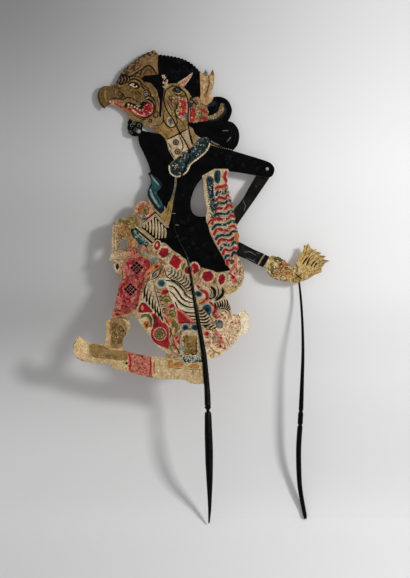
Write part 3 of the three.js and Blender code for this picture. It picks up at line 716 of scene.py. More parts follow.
# %% The crescent in the upper curl and the cut lines of the lower one
figure.draw("""
crescent_outer = shape: -2,597 8,598 17,603 22.5,611 21,621
crescent_inner = shape: -2,602 6,605 12,609 15,615 17,621
smoke_dark band -0.5 0.5: crescent_outer / crescent_inner
fawn band 0 1: crescent_outer / crescent_inner
crescent = between: crescent_outer / crescent_inner
cream speckle 16 2.2 7: crescent
ink speckle 20 1.5 8: crescent
+ line 1.4: crescent_inner
+ line 2: 6,609 11,614 12,620
smoke line 1.4: 20,580 24.5,581 29,580.5
+ line 1.4: 26.5,564 29,567 32.5,571.5
""")
for radius in (26, 31, 36):
    arc = [(8 + radius * math.cos(a), 573 + radius * math.sin(a)) for a in (-0.5, -0.1, 0.3, 0.7)]
    figure.lay("smoke_dark", line(arc, 0.7))

# %% Ear and lobes inside the loop of the rod
figure.draw("""
gold_tan field: -66,634 -60,646 -46,648 -34,638 -29,622 -28,600 -34,584 -44,580 -56,590 -66,606
night_blue field: -54,641 -50,645 -43,643 -41,638 -47,636
teal field: -49,642 -44,642 -43,639 -47,638
olive field: -56,634 -50,634 -47,628 -48,618 -52,606 -56,604 -55,616 -53,626
tan field: -63,630 -60,637 -55,636 -57,626 -55,618 -60,616 -64,622
pink line 4: -58,633 -54,630 -55,623 -53,617
dark_red line 2: -58,632 -55,630 -56,622 -54,617
ear_flame = field: -47,628 -40,634 -33,628 -31,614 -34,600 -40,596 -46,606 -48,618
cream>pink>red grade 0.84: ear_flame
pink speckle 26 2.8 9: ear_flame
gold_light speckle 18 2 77: -50,628 -42,634 -36,630 -46,602 -50,610
cream speckle 22 1.9 10: -49,630 -40,632 -40,598 -48,604
dark_red speckle 20 2 11: ear_flame
olive field: -46,633 -40,635 -34,630 -40,629
+ field: -50,618 -46,621 -45,614 -49,612
cream field: -63,596 -57,602 -52,596 -52,588 -58,586
+ line 2.2: -62,612 -58,606 -57,600
smoke field: -61,596 -56,599 -53.5,592 -57,588
+ field: -36,606 -32,606 -32,596 -36,598
sea_blue line 1.6: -58.5,596 -56,591
+ line 1.2: -34,604 -34,598
""")

# %% Cut lines of the ear
figure.draw("""
ear_field = shape: -64,636 -50,646 -36,638 -32,600 -44,584 -56,590
umber speckle 40 1.4 78: ear_field
gold_dark speckle 26 3.2 113: ear_field
gold_light speckle 22 1.6 79: ear_field
brown line 1.4: -42,594 -36,588 -34,582
+ line 1: -50,604 -46,594 -40,586
ink line 1.8: -65,612 -68,602 -65,592 -59,586 -52,586 -47,592 -49,602 -52,612
+ line 1.6: -50,634 -46,630 -47,618 -50,608 -46,599 -40,594
+ line 1.5: -56,642 -50,635 -44,633 -38,637
+ line 1.3: -62,626 -59,618 -55,610
+ curl 4.6 40 1.1 1.3: -56,628
+ line 1.5: -71,603 -67,602 -68,594 -72,589
+ line 1.2: -45,634 -40,631 -33,634
+ dots 6 1: -49,626 -48,616 -44,606
""")

# %% Side lock between ear and curls
figure.draw("""
lock = shape: -29,628 -18,630 -6,628 -1,608 -2,595 -14,594 -24,592 -29,600
tan shape: lock
smoke_dark field: -28,630 -22,628 -16,622 -20,618 -27,622
smoke line 1.4: -26,628 -22,626 -19,622
pink speckle 24 3.6 12: lock
gold_tan speckle 14 3 13: lock
pink line 8 0.8: -27,618 -26,606 -26,593
red line 6 0.7: -27,616 -24,606 -26,593
+ line 6: -13,611 -7,610 -2,607
+ line 6: -14,600 -8,599 -2,596
crimson line 2.4: -22,615 -21,604 -23,594
+ line 2.4: -11,612 -5,609
olive line 3.4: -18,606 -14,607 -11,604 -15,600
cream speckle 26 2 14: lock
crimson speckle 14 2.4 80: lock
gold_dark speckle 20 3 114: lock
teal field: -30,621 -24,622 -25,616 -29,614
+ field: -6,622 -1,622 0,616 -5,617
ink line 1.2: -29,628 -27,612 -28,596
+ speckle 22 1.5 15: lock
""")

# %% Tall feather behind the hair
figure.draw("""
feather shape: -12,622 -14,680 12,680 12,640 4,624 -3,618
cream line 4: 4,662 4,646 0,630
+ line 2: -6,660 -7,648 -8,634
smoke field: -9,666 -5,673 -2,665 -5,661
brown field: 3,666 5.5,673 8,666 5,663
+ line 1.6: 0,661 -1,648 -5,634
+ speckle 22 1.5 16: -9,662 7,664 3,640 -4,626 -10,632
ink line 0.9: -1,662 1,652 -2,640 -5,628
+ dots 5 0.7: 4,670 5,656 2,640
pink line 2.4: -8,630 -3,632 0,628
""")

# %% Face: eye, brow and nostril
figure.draw("""
ink field: -120,649 -115,653 -107,652 -102,646 -106,642 -113,644
bone_white field: -117.5,648.5 -113,650.5 -109,649 -106,645.5 -110,644.5 -114,646
ink disc 2.1: -109.5,647.5
+ line 0.9: -113.5,650 -112,646.5
+ line 2.5 0.4: -121,651 -116,656 -109,657 -102,653 -98,645 -95,641
+ line 1.6: -124,655 -117,660 -107,661 -99,657 -94,649
+ line 1.7: -108,641 -104,637 -99,633
+ line 1.2: -112,641 -107,635 -101,630
+ line 1.4: -99,651 -94,646 -89,643
+ line 2.2: -98,638 -92,641 -87,636 -86,630
+ line 2: -136,637 -132,638 -127,634 -124,629
+ curl 4 150 1.1 1.8: -130,632
+ line 1: -144,647 -134,643 -127,645
+ line 1.7: -146,627 -138,628 -128,627 -118,630 -110,626 -103,622
+ line 1.1: -122,643 -118,639 -112,637
smoke disc 3.2: -93,634
ink ring 3.4 1.2: -93,634
+ disc 1: -93,634
""")

# %% Face: mouth, teeth and cheek
figure.draw("""
upper_lip = field: -148,624 -138,627 -130,623 -121,620 -118,614 -127,612 -138,617
tan shape: upper_lip
pink speckle 26 3.4 107: upper_lip
skin speckle 16 3 112: upper_lip
cream speckle 14 1.7 81: upper_lip
red line 2: -141,621.5 -134,618 -127,614.5 -121,612
+ speckle 14 2 82: upper_lip
ink field: -126,617 -119,623 -110,620 -103,619 -98,624 -90,628 -83,624 -80,614 -84,604 -92,599
    -101,600 -109,605 -117,611
gums = field: -122,616 -116,616 -108,612 -101,611 -95,619 -89,624 -84,620 -82,613 -86,605 -93,601 -102,602
    -112,608
crimson shape: gums
pink speckle 24 2.6 83: gums
dark_red speckle 16 2.2 84: gums
cream disc 1.6: -119,619 -114.5,617.6 -110,615.6 -106,613.4 -102.5,611
cream line 1.5: -108,618.5 -104,616.5 -101,618
+ line 1.1: -115,613 -109,610
pink oval 2.6 1.7 -30: -111,609 -106.5,605.6
+ oval 2.6 1.7 -15: -101.5,603.4
+ oval 2.6 1.7 0: -96.5,603
bone_white speckle 22 1.5 85: gums
+ disc 0.9: -109,608.2 -104.5,605 -99,603.4
red disc 4: -88.5,613
ink curl 4.4 30 1.1 1.1: -89,614
smoke line 1.1: -97,623.6 -91,625 -85.5,622
ink line 2.6 0.4: -96,628 -90,632 -83,629 -79.5,622
+ line 1.8: -80,622 -79,612 -83,603
+ line 1.4: -114,608 -105,600 -95,597 -86,600
+ curl 5.6 30 1.15 1.7: -78,603.5
+ curl 3.6 200 1 1.8: -87,596
+ line 0.9: -74,640 -76,628 -74,614
+ line 1.3: -84,588 -76,588 -71,591
+ line 1: -86,644 -80,646 -76,641
""")

# %% Beard
figure.draw("""
black field: -122,600 -117,597 -112,593 -103,592 -98,590 -97,572 -110,570 -122,576 -124,590
ink line 1.8: -119,600 -113,595 -104,592.5 -97,590
smoke curl 3.3 20 1.15 0.7: -114,588
+ curl 3.3 200 1.15 0.7: -109,583
+ curl 3.3 100 1.15 0.7: -115,578
+ curl 3.3 300 1.15 0.7: -104,588
+ curl 3.3 60 1.15 0.7: -110,592
smoke ring 3.6 1.1: -104,579
""")

# %% [markdown]
# Below the chin come the collar plate with its two ring buttons, the patterned shawl and
# the plain black jacket.

# %% Jacket and pale edges
figure.draw("""
black shape: -108,578 -97,581 -72,576 -66,570 -62,562 -60,552 -54,542 -50,538 -30,552 -20,560 -5,568 0,560
    34,552 60,545 100,540 100,505 60,514 20,523 12,506 0,470 -3,450 1,430 8,415 18,398 28,380 32,374
    12,370 -12,376 -30,384 -50,398 -67,410 -62,432 -57,450 -53,474 -50,486 -48,512 -50,506 -52,494 -58,474
    -66,466 -110,500
blue_black speckle 30 6 86: -44,500 -8,500 0,440 10,390 -40,396
+ speckle 18 5 87: 0,556 90,536 90,516 20,528
olive_grey line 3.4 0.7: -49,513 -50,498 -54,482 -58,474
gold_tan field: -62,474 -57,474 -56,462 -60,440 -66,436 -76,454 -70,464
brown line 1.6: -60,470 -61,458 -66,446
cream line 2: -66,411 -50,400 -38,391.5 -29,387
+ line 1.4: -25,383.5 -10,377 8,372.5
fawn line 1.6: -2,561 6,559 13,556.5
+ dots 8 0.7: 14,556 24,554 35,551.5
smoke line 1.9: -6,570 2,566 8,562 16,559
+ line 1.3: -50,441 -47,441 -44,441
""")

# %% Collar plate and ring buttons
figure.draw("""
cream shape: -62,567 -46,575.5 -31,583.5 -26,571 -25,560 -27,553 -37,547 -47,540 -51,537 -57,548 -61,558
tan field: -25,585 -20,574 -17,569 -24,560 -27,570
pink field: -33,562 -28,560 -26,554 -30,555
olive disc 1.8: -22.5,570
fawn disc 4: -49,563.5
ink ring 4 1.4: -49,563.5
+ disc 1.2: -49,563.5
fawn disc 4: -46.5,549.5
ink ring 4 1.4: -46.5,549.5
+ disc 1.2: -46.5,549.5
ink line 2.3: -63,568 -55,570.5 -45,576 -31,583.5
+ line 1.8: -45,574 -40,565 -38.5,556 -41,549
+ line 1.2: -60,563 -58,558 -55,554
+ line 1.8: -30,583 -28,572 -25.5,561
+ line 1.3: -58,552 -53,543 -49,538
""")

# %% Patterned shawl
figure.draw("""
shawl = field: -58,531 -51,537 -46,541 -38,549 -25,556 -20,562 -14,569 -5,571 2,567 -1,560 -3,552 -8,547
    -14,541 -22,536 -27,531 -32,522 -38,516 -47,513 -54,516 -59,524
teal shape: shawl
night_green speckle 50 4.6 18: shawl
ink speckle 44 3.4 19: shawl
cream speckle 34 2.4 20: shawl
pale_teal speckle 26 2.2 21: shawl
ink speckle 26 1.4 22: shawl
shawl_edge = shape: -59,528 -58,520 -54,515 -47,512.5 -39,515 -32,521 -27,531 -18,538 -8,546 -2,553 1,561
bone_white line 1.5 0.7: shawl_edge
+ dots 30 1.3: shawl_edge
fawn line 1.2: -58,531 -46,541 -36,549 -26,556 -18,565
""")

# %% [markdown]
# The blue hilt of a dagger rises from the belt. It is one winding field, laid dark and
# then smaller in sea blue, with pale strokes along it.

# %% Hilt
figure.draw("""
black field: -94,520 -80,524 -62,504 -60,474 -70,458 -86,476
hilt = field: -88,519 -80,513 -72,507 -69,498 -76,491 -76,485 -70,475 -65,463 -72,458 -81,468 -89,480
    -92,493 -86,502 -90,511
night_blue>sea_blue grade 0.74: hilt
pale_teal line 2.4 0.5: -86,515 -80,507 -74,500
+ line 3 0.6: -87,494 -83,482 -74,468
night_blue line 1.6: -82,500 -83,490 -77,480 -70,468
cream line 1.2: -66,469 -65,463 -70,457
""")

# %% Belly flower
figure.draw("""
cream field: -109,462 -105,472 -98,477 -90,474 -84,465 -90,452 -102,448
""")
petal_angles = (0.2, 0.9, 1.6, 2.3, 3.0, 3.7, 5.6)
figure.lay("pink", petals(-97, 463, 9.2, 3.4, petal_angles))
figure.lay("red", petals(-97, 463, 8.6, 1.6, petal_angles))
figure.draw("""
orange disc 7.4: -96.5,463
gold_tan oval 6.6 4.4 70: -95,462
olive oval 4.4 2.8 70: -94.5,461
teal field: -101,452 -95,455 -90,452 -95,448
ink ring 7.8 0.7: -96.5,463
+ line 0.8: -97,469 -95,462 -92,455
flower_heart = disc 7: -96.5,463
brown speckle 14 1.2 31: flower_heart
cream dots 9 1.1: -108,462 -104,471 -97,476 -90,474 -85,466
""")

# %% [markdown]
# The belt is a dark lozenge with a double rim of pale lines and a row of short pale bars.
# The rims are the same four corners drawn in towards the middle, once a little and once
# more.

# %% Belt
figure.draw("""
red line 4.4 0.6: -94,448 -88,452 -82,457 -79,461
dark_red line 1.6: -93,450 -88,452 -83,458
olive_grey line 4 0.7: -107,458 -100,450 -92,442
black shape: -106,437 -79,461 -58.5,437 -61,415 -81,415
""")
belt_corners = [Vector(corner) for corner in ((-105, 437), (-79, 458), (-59, 437), (-80.7, 417))]
belt_heart = sum(belt_corners, Vector((0, 0))) / len(belt_corners)
BELT_RIM_INSETS = (0.02, 0.15)
for inset in BELT_RIM_INSETS:
    left, top, right, foot = (corner.lerp(belt_heart, inset) for corner in belt_corners)
    for start, end, width in ((top, left, 1.5), (left, foot, 1.5), (top, right, 1.4)):
        figure.lay("cream", line([start, end], width, ends=0.7))
# Foot and top of each bar, from the left.
belt_bars = [
    (436.8, 440.5), (433.2, 444.3), (429.6, 448.1), (426, 452),
    (421.5, 451.5), (421, 446.7), (421.5, 441.9), (422, 437),
]
FIRST_BAR_X, BAR_PITCH = -96.5, 4.5
for i, (foot, top) in enumerate(belt_bars):
    x = FIRST_BAR_X + BAR_PITCH * i
    figure.lay("cream", line([(x, foot), (x + 0.9, (foot + top) / 2), (x - 0.4, top)], 3, ends=0.6))

# %% [markdown]
# The sash hangs in short ruffles, red and teal by turns on cream. Two guide lines, the
# fold on the left and the ruffled edge on the right, carry all the waves, so a loop
# draws them.

# %% Sash
figure.draw("""
cream shape: -10,514 8,524 28,524 40,500 48,440 60,400 60,336 20,336 20,350 34,373 24,392 12,410 4,428
    -4,446 -6,470
sash_left = shape: 10,494 9,476 4,452 3,438 8,422 14,410 20,398 26,384
sash_right = shape: 31,500 33,486 36,470 40,455 42,440 44,424 43,408 40,392
""")
SASH_WAVES = 15
wave_rises = (-3, 2.6, 0.4, -1.6, 2.2, -2.2)
wave_colours = (("red", "pink", "dark_red"), ("teal", "pale_teal", "ink"))
sway = random.Random(31)
wave_ends = abreast(named["sash_left"], named["sash_right"], SASH_WAVES)
for i, (left, right) in enumerate(wave_ends):
    run = right - left
    rise = Vector((-run.y, run.x)).normalized()
    places = [
        left + run * (k / 5) + rise * height * sway.uniform(0.5, 1.5) for k, height in enumerate(wave_rises)
    ]
    finish, edge, shade = wave_colours[i % 2]
    figure.lay(edge, line(places, 6.6, ends=0.7))
    figure.lay(finish, line(places, 4.8, ends=0.6))
    figure.lay(shade, line([p + rise * 1.1 for p in places[:5]], 1.5))
    figure.lay("cream", line([p - rise * 1.9 for p in places[1:5]], 0.8))
    figure.lay(finish, curl(right.x - 2, right.y, 3, 180 * (i % 2), 0.9, 1.5))

# %% Navy edge and the spots of the ruffles
figure.draw("""
ruffles = shape: 8,494 32,500 42,440 40,394 26,386 6,440
cream speckle 80 2.6 32: ruffles
night_green speckle 50 1.4 33: ruffles
navy = field: -4,510 2,513 7,508 6.5,494 9,478 10.5,463 4,460 1.5,475 -1.5,492
teal shape: navy
night_blue speckle 26 3 34: navy
+ line 3: 4,508 5,490 8,466
pale_teal speckle 16 1.8 35: navy
bone_white speckle 18 1.4 88: navy
cream dots 16 1.5: -6,508 -4.6,494 -3,478 -0.5,463
teal dots 13 1: -3.6,506 -2.2,494 -0.6,478 1.6,465
+ field: 8,519 12,522 17,520 17,508 13,502 8,507
night_green line 2.8: 12,519 11,511 13,505
cream field: 18,521 23,521 23,508 24,502 18,503 17,510
fawn speckle 8 1.3 36: 18,521 24,521 24,502 17,503
neck_wave = shape: 26,521 22.6,512 27,503 20,498 12,497 9.5,493
pink line 6 0.7: neck_wave
red line 4.2 0.6: neck_wave
dark_red line 1.1: 25,519 24,511 26.5,504
ink line 1.3: 0,460 4,455 2,450
+ line 1.8: 9,461 13,455 17,452
+ line 1.1: 5,457 10,452
red line 3.4: -2,441 2,447 9,450 16,447
ink line 2.2: 31,425 34,430 38,433
+ rungs 5 0.8: 33,421 37,423 / 32,415 37,414
orange field: 39,430 43,429 44,420 41,414 38,422
pale_teal field: 44,408 49,410 52,404 46,401
""")

# %% Tail of the sash
figure.draw("""
sash_cream field: 36,396 46,392 56,380 60,362 52,345 38,336 22,334 24,352 34,370
cream field: 24,346 36,352 50,352 54,362 46,344 34,338
sash_tail = shape: 36,396 46,392 54,380 54,362 46,348 38,342 26,340 28,356
gold_tan speckle 26 3 123: sash_tail
cream speckle 26 4 124: sash_tail
pink speckle 20 3 125: sash_tail
dark_red speckle 12 2.8 126: sash_tail
brown speckle 26 1.8 127: sash_tail
gold_light field: 28,350 40,348 48,354 46,344 38,339 27,340
pink field: 31,370 36,374 42,382 41,392 38,398 36,384 32,376
+ field: 32,362 38,364 42,356 36,353
red speckle 18 1.8 37: 30,372 38,398 46,384 44,356 32,356
crimson disc 3: 35.5,364
+ line 2.4: 26,371 31,369 34,366
+ line 1.4: 40,380 41,372 38,366
teal oval 4 2.2 50: 34.5,386
brown line 1: 46,392 47,380 46,368
+ line 0.9: 52,380 50,366 44,352 34,343
+ dots 4 0.9: 28,364 30,356 36,350
""")

# %% [markdown]
# The skirt is the busiest field: red jewels along the top, a great feathered wing, a
# second fan of feathers, flowers and tendrils. The long feathers of the wing are laid one
# by one. The short ones and the fan stand side by side between two guide lines, so a loop
# or one helper draws each bundle.

# %% Skirt: ground colours
figure.draw("""
skirt_ground shape: -104,436 -84,416 -64,414 -50,400 -30,386 -10,377 12,371 30,373 24,345 34,320 44,300
    30,262 0,238 -62,240 -130,256 -160,268 -156,300 -134,340 -134,366 -146,380 -150,390 -148,450 -112,458
brown_ground field: -98,372 -84,392 -66,388 -64,372 -80,364 -100,340 -104,352
sand field: 20,340 34,330 38,306 50,320 64,300 56,274 40,262 20,248 -4,238 -12,262 -4,290 14,312
lobe_cream field: 42,308 52,318 64,304 64,284 52,270 44,280 46,296
brown line 0.8: 50,316 60,304 61,288 53,276
+ line 1: 46,300 47,290 45,282
gold_tan field: -134,454 -112,456 -102,444 -112,434 -126,440
skirt_middle = shape: -100,412 -62,410 -30,384 12,368 24,340 10,300 -6,250 -60,244 -102,300 -104,350
brown_ground speckle 150 4 89: skirt_middle
cream speckle 190 3 90: skirt_middle
gold_tan speckle 100 2.8 91: skirt_middle
pink speckle 90 2.2 92: skirt_middle
brown speckle 200 1.6 93: skirt_middle
olive speckle 70 2.8 94: skirt_middle
red speckle 60 2.4 109: skirt_middle
orange speckle 40 2.4 110: skirt_middle
bone_white speckle 120 1.6 95: skirt_middle
""")

# %% Red panel with its two lattices
figure.draw("""
panel = field: -118,406 -108,406 -100,398 -96,392 -87,389 -88,378 -93,368 -99,358 -101,344 -104,330
    -106,320 -114,314 -124,308 -138,306 -140,320 -136,336 -134,350 -128,366 -132,378 -122,388 -118,396
faded_red shape: panel
+ field: -121,402 -117,410 -111,415 -107,408 -106,398
pink speckle 50 6 118: -134,400 -118,400 -124,366 -130,340 -132,310 -142,306 -138,350
+ speckle 34 6 38: panel
brown speckle 26 5 115: panel
crimson speckle 40 6 39: panel
pink speckle 50 2.6 108: panel
red line 4.6 0.7: -90,388 -91,376 -98,362
+ line 3: -101,352 -104,340 -106,330
dark_red line 1.5 0.7: -88.5,386 -89.5,374 -97,360 -100.5,346
crimson speckle 12 4 96: -134,346 -126,352 -120,334 -128,326
""")
for i in range(7):
    angle = 25 + 26 * i
    figure.lay("pink", leaf(-111, 392, 13, 3.2, angle))
    figure.lay("dark_red", leaf(-111, 392, 10, 1.1, angle + 9))
figure.draw("""
dark_red speckle 70 1.8 40: panel
bone_white speckle 22 1.2 41: panel
""")
# How far apart the lattice holes stand, measured across and up.
LATTICE_STEP = 4.9 * 0.707
for x, z in ((-107, 377.7), (-116, 345.6)):
    figure.lay("faded_red", oval(x, z, 10.4, 10.4, 0, 4))
    for row in (-1, 0, 1):
        for column in (-1, 0, 1):
            u = x + (column - row) * LATTICE_STEP
            v = z + (column + row) * LATTICE_STEP
            figure.lay("black", oval(u, v, 3, 3, 0, 4))
figure.draw("""
brown line 1.6: -132,318 -128,312 -122,317 -124,309
+ line 1.6: -134,309 -128,304 -121,303
ink line 1.8: -109,324 -106,321
+ line 1.2: -136,305 -128,303 -121,301
""")

# %% Front edge of the skirt and the tassel
figure.draw("""
olive_grey line 3.4 0.7: -140,446 -141,430 -141,410 -141,392
olive field: -134,451 -118,454 -106,448 -108,439 -120,440 -132,444
gold_tan line 2.6: -130,448 -120,450 -110,446
tassel = field: -140,436 -130,440 -118,438 -112,430 -118,424 -134,424
orange_brown shape: tassel
red speckle 16 2 42: tassel
olive speckle 12 1.8 43: tassel
tan field: -134,404 -124,402 -118,410 -114,424 -120,428 -134,424
orange oval 7.4 5 60: -112,416
+ line 2: -132,446 -126,440 -118,436
gold_light oval 4 2.4 60: -111.5,417
brown curl 4.6 60 1.2 1.3: -126,436
+ disc 2.2: -130,425
+ disc 1.6: -122,403
+ line 1.2: -136,444 -126,446 -114,444
lobe = shape: -146,452 -112,454 -104,440 -106,410 -118,402 -146,396
gold_tan speckle 70 3 97: lobe
olive speckle 50 2.6 98: lobe
cream speckle 80 2.4 99: lobe
pink speckle 36 2.2 100: lobe
brown speckle 80 1.6 101: lobe
smoke speckle 20 2 102: lobe
cream line 1.6: -137,430 -138,416 -137,400
+ dots 14 1.9: -142,440 -142.5,420 -142,398
+ field: -146,399 -136,402 -128,396 -129,383 -137,380 -147,386
+ oval 9 4.8 90: -136,380
pink speckle 12 2.1 44: -145,398 -129,398 -129,384 -145,384
night_green oval 4.6 2.4 90: -135.5,379.5
brown dots 3 0.9: -133,398 -128,392 -124,396
+ line 0.8: -146,388 -138,390 -130,385
""")

# %% Grey-blue ground under the belt
figure.draw("""
olive_grey field: -104,416 -96,414 -90,406 -94,396 -102,396 -106,406
pink oval 6 4 60: -97,405
pale_teal field: -90,392 -84,394 -76,391 -74,387 -84,386
+ disc 2.4: -94,399
smoke disc 1.7: -85,390
+ disc 1.6: -78,390
+ line 1.2: -88,409 -84,401
gold_tan line 1.6: -86,416 -87,408 -84,400 -76,396
ink line 3.4 0.7: -110,437 -97,426 -83,414
cream line 1.6 0.7: -108,438 -95,427 -82,416
+ line 1.6 0.7: -112,435 -99,424 -86,413
patch = field: -116,434 -110,435 -103,427 -97,421 -89,414 -93,408 -98,413 -103,412 -107,419 -113,424
night_green>sea_blue grade 0.7: patch
teal speckle 12 5 116: patch
pale_teal speckle 8 3.4 117: patch
+ line 1.1: -112,432 -104,424 -95,416
""")

# %% Jewels along the top of the skirt
# Place, half length, half width, turn and number of sides.
jewels = [
    (-76.6, 410.6, 6.6, 4.4, 80, 10), (-66.7, 400, 8.4, 7.4, 45, 5), (-49.5, 386.5, 11.6, 9.8, 100, 4),
    (-30.6, 374.4, 6, 5.2, 60, 8), (-21, 377, 8, 6, 100, GUIDE_STEPS), (-1.8, 365, 9, 8.2, 10, 6),
    (18.8, 360.6, 8.4, 5, 80, 6),
]
figure.draw("""
cream line 1.2 0.8: -84,414 -68,406 -50,395 -30,383 -8,374 14,369
""")
for x, z, long, wide, turn, sides in jewels:
    figure.lay("cream", oval(x, z, long + 1.6, wide + 1.5, turn))
for x, z, long, wide, turn, sides in jewels:
    figure.lay("pink", oval(x, z, long + 0.7, wide + 0.7, turn, sides))
    figure.lay("crimson", oval(x, z, long, wide, turn, sides))
    figure.lay("dark_red", speckle(oval(x, z, long, wide, turn), 5, 2.6, int(x) + 200))
    figure.lay("red", oval(x - long * 0.2, z + wide * 0.3, long * 0.24, wide * 0.16, turn + 30))
figure.draw("""
pink oval 3.4 1.8 80: -77,411.5
+ line 2: -76,405 -73,403
bone_white oval 1.5 0.9 80: -77,411.5
""")
for x, z, turn in ((-59.5, 395.5, 50), (-38, 380, 70), (-14, 370.5, 75), (8.5, 359, 80)):
    figure.lay("olive", oval(x, z, 5, 3, turn))
    figure.lay("gold_tan", oval(x + 0.8, z + 0.6, 2.6, 1.1, turn))
    figure.lay("ink", line([(x - 1.4, z - 3), (x, z), (x + 1.6, z + 3)], 1))
figure.draw("""
orange oval 3 2 60: -10.5,373
+ disc 1.8: -40,387
""")

# %% Wing
wing_feathers = [path(row) for row in (
    "-65,359 -55,358 -47,354 -40,347 -35,339 -28,333 -23,331",
    "-60,351 -52,349 -46,342 -41,334 -33,328 -24,326",
    "-58,343 -52,338 -46,330 -40,324 -32,320 -22,319",
    "-50,327 -46,318 -38,313 -30,311 -19,311",
    "-42,312 -36,308 -28,306 -19,306",
    "-36,306 -30,302 -19,300.5",
)]
figure.draw("""
bone_white field: -68,362 -55,360 -44,353 -34,340 -20,334 -17,314 -18,299 -34,300 -46,312 -54,328 -61,344
""")
for feather in wing_feathers:
    figure.lay("ink", line(feather, 2.6, ends=0.6))
    figure.lay("fawn", line([(x + 0.5, z - 3) for x, z in feather], 0.8))
figure.draw("""
cream field: -67,381 -64,366 -54,359 -42,353 -32,341 -24,350 -32,364 -40,372 -52,375 -60,381
ink line 1.8 0.6: -66,377 -63,366 -55,360 -47,357 -38,350 -31,342
covert_root = shape: -64,370 -58,363 -50,361 -43,356 -36,349 -31,343
covert_tip = shape: -60,381 -51,376 -42,372 -35,366 -29,358 -25,350
""")
coverts = rungs(named["covert_root"], named["covert_tip"], 10, width=2.5, bow=-0.24)
figure.lay("ink", *coverts[1:])
figure.draw("""
smoke rungs 7 1 -0.2: -60,368 -46,362 -34,351 / -55,375 -42,368 -30,356
""")

# %% Second fan of feathers
figure.draw("""
fan_root = shape: -88,358 -84,350 -79,341 -75,330 -70,318
fan_tip = shape: -100,336 -95,326 -88,318 -80,309 -72,301
cream band -0.15 1.05: fan_root / fan_tip
""")
FAN_FEATHERS = 7
for root, tip in abreast(named["fan_root"], named["fan_tip"], FAN_FEATHERS):
    run = tip - root
    turn = math.degrees(math.atan2(run.y, run.x))
    figure.lay("ink", leaf(root.x, root.y, run.length * 1.12, 6, turn, 0.2))
    figure.lay("cream", leaf(root.x + 0.8, root.y + 1, run.length * 0.96, 4.8, turn + 3, 0.2))
figure.draw("""
ink line 1.6: -82,356 -79,342 -75,328 -70,308
+ rungs 6 1.5: -78,342 -73,326 -68,310 / -72,341 -67,326 -63,312
cream leaf 21 9 47 0.05: -87,359
smoke leaf 11 5 47: -84,363
ink line 1.7: -87,360 -80,362 -73,369 -71,376
+ line 1.6: -85,362 -82,370 -74,375
+ line 1: -82,366 -76,372
""")

# %% Orange band
figure.draw("""
pink line 8.4 0.6: -95,363 -88,371 -81,378 -73,385
orange line 6.2 0.6: -93,365 -88,371 -81,378 -75,383
dark_red line 3: -91,367 -87.5,371.5
+ line 3.6: -80,377 -75,381.5
gold_light line 0.9: -92,368 -86,375 -79,382
skirt_ground line 1: -96,361 -90,364 -82,372 -74,379
""")

# %% Dots and buds between the wings
figure.draw("""
cream disc 8: -71,355
pale_teal disc 6.4: -71,355
sea_blue disc 5: -70.5,355
teal disc 2.8: -70,354.5
brown line 1: -79,352 -77,346 -70,344
red oval 5.8 3.8 20: -65,342
+ oval 5.2 3.2 10: -56,321
crimson oval 3.6 2.2 20: -65,341.6
+ oval 3.2 1.8 10: -56,320.8
pink oval 4 1.6 20: -65.5,346.5
+ disc 1.8: -61,322
olive field: -70,333 -63,337 -56,332 -58,327 -66,327
+ field: -59,314 -53,316 -48,309 -52,304 -58,307
gold_light line 1.4: -69,329 -63,334 -58,330
+ line 1.3: -58,310 -53,313 -50,307
pink field: -68,326 -62,325 -56,326 -60,320
brown line 1.1: -73,336 -72,326 -66,320 -60,322
+ line 1: -68,318 -64,310 -60,302
""")

# %% Small curls and buds over the plain ground
buds = path("-66,313 -58,304 -46,290 -52,266 -30,268 2,296 8,286 -2,278 10,270 20,262")
for i, (x, z) in enumerate(buds):
    figure.lay("red orange olive teal".split()[i % 4], curl(x, z, 4.4, 70 * i, 1.1, 1.7))
    figure.lay("pink gold_tan cream".split()[i % 3], oval(x + 3.4, z - 2.6, 2.6, 1.6, 50 * i))
    figure.lay("ink", line([(x - 4, z + 3), (x - 1, z + 4.4), (x + 3, z + 3.6)], 1))

# %% Lower flowers of the skirt
figure.draw("""
pink field: -48,318 -38,313 -22,300 -18,294 -34,293 -46,293
red field: -47,315 -40,311 -32,303 -27,298 -36,296 -44,295 -46,304
crimson line 2.4: -44,311 -40,304 -34,299
pale_teal disc 6: -34.7,289 -21.5,289
teal disc 4.6: -34.7,289 -21.5,289
night_blue disc 2.4: -34.7,289 -21.5,289
+ line 1.6: -44,296 -36,297 -26,296 -18,296
dark_red oval 3.6 2.2 80: -28.3,285
olive field: -56,300 -50,299 -46,290 -49,280 -54,286
gold_light oval 5 2 80: -52.5,285
orange oval 4.6 3 20: -57,300
+ line 2.4: -68,306 -62,302 -57,296
red line 2.6: -66,305 -62,298 -58,292
+ line 4.4: -52,278 -47,272 -43,264
+ line 2.6: -56,266 -50,262 -46,256
pink oval 4.4 3.2 60: -47.8,274
+ line 2.6: -56,276 -51,270 -47,262
+ line 2.4: -58,256 -52,252 -46,248
crimson oval 2.4 1.6 60: -47.8,274
dark_red line 2.6: -43,284 -40,278 -37,271
+ line 2: -58,290 -56,282 -58,274
olive line 2.2: -60,270 -58,262 -54,254
+ line 2: -44,292 -43,285
ink line 0.9: -60,286 -54,278 -52,268 -48,258
+ line 0.9: -44,280 -41,270 -42,260
""")

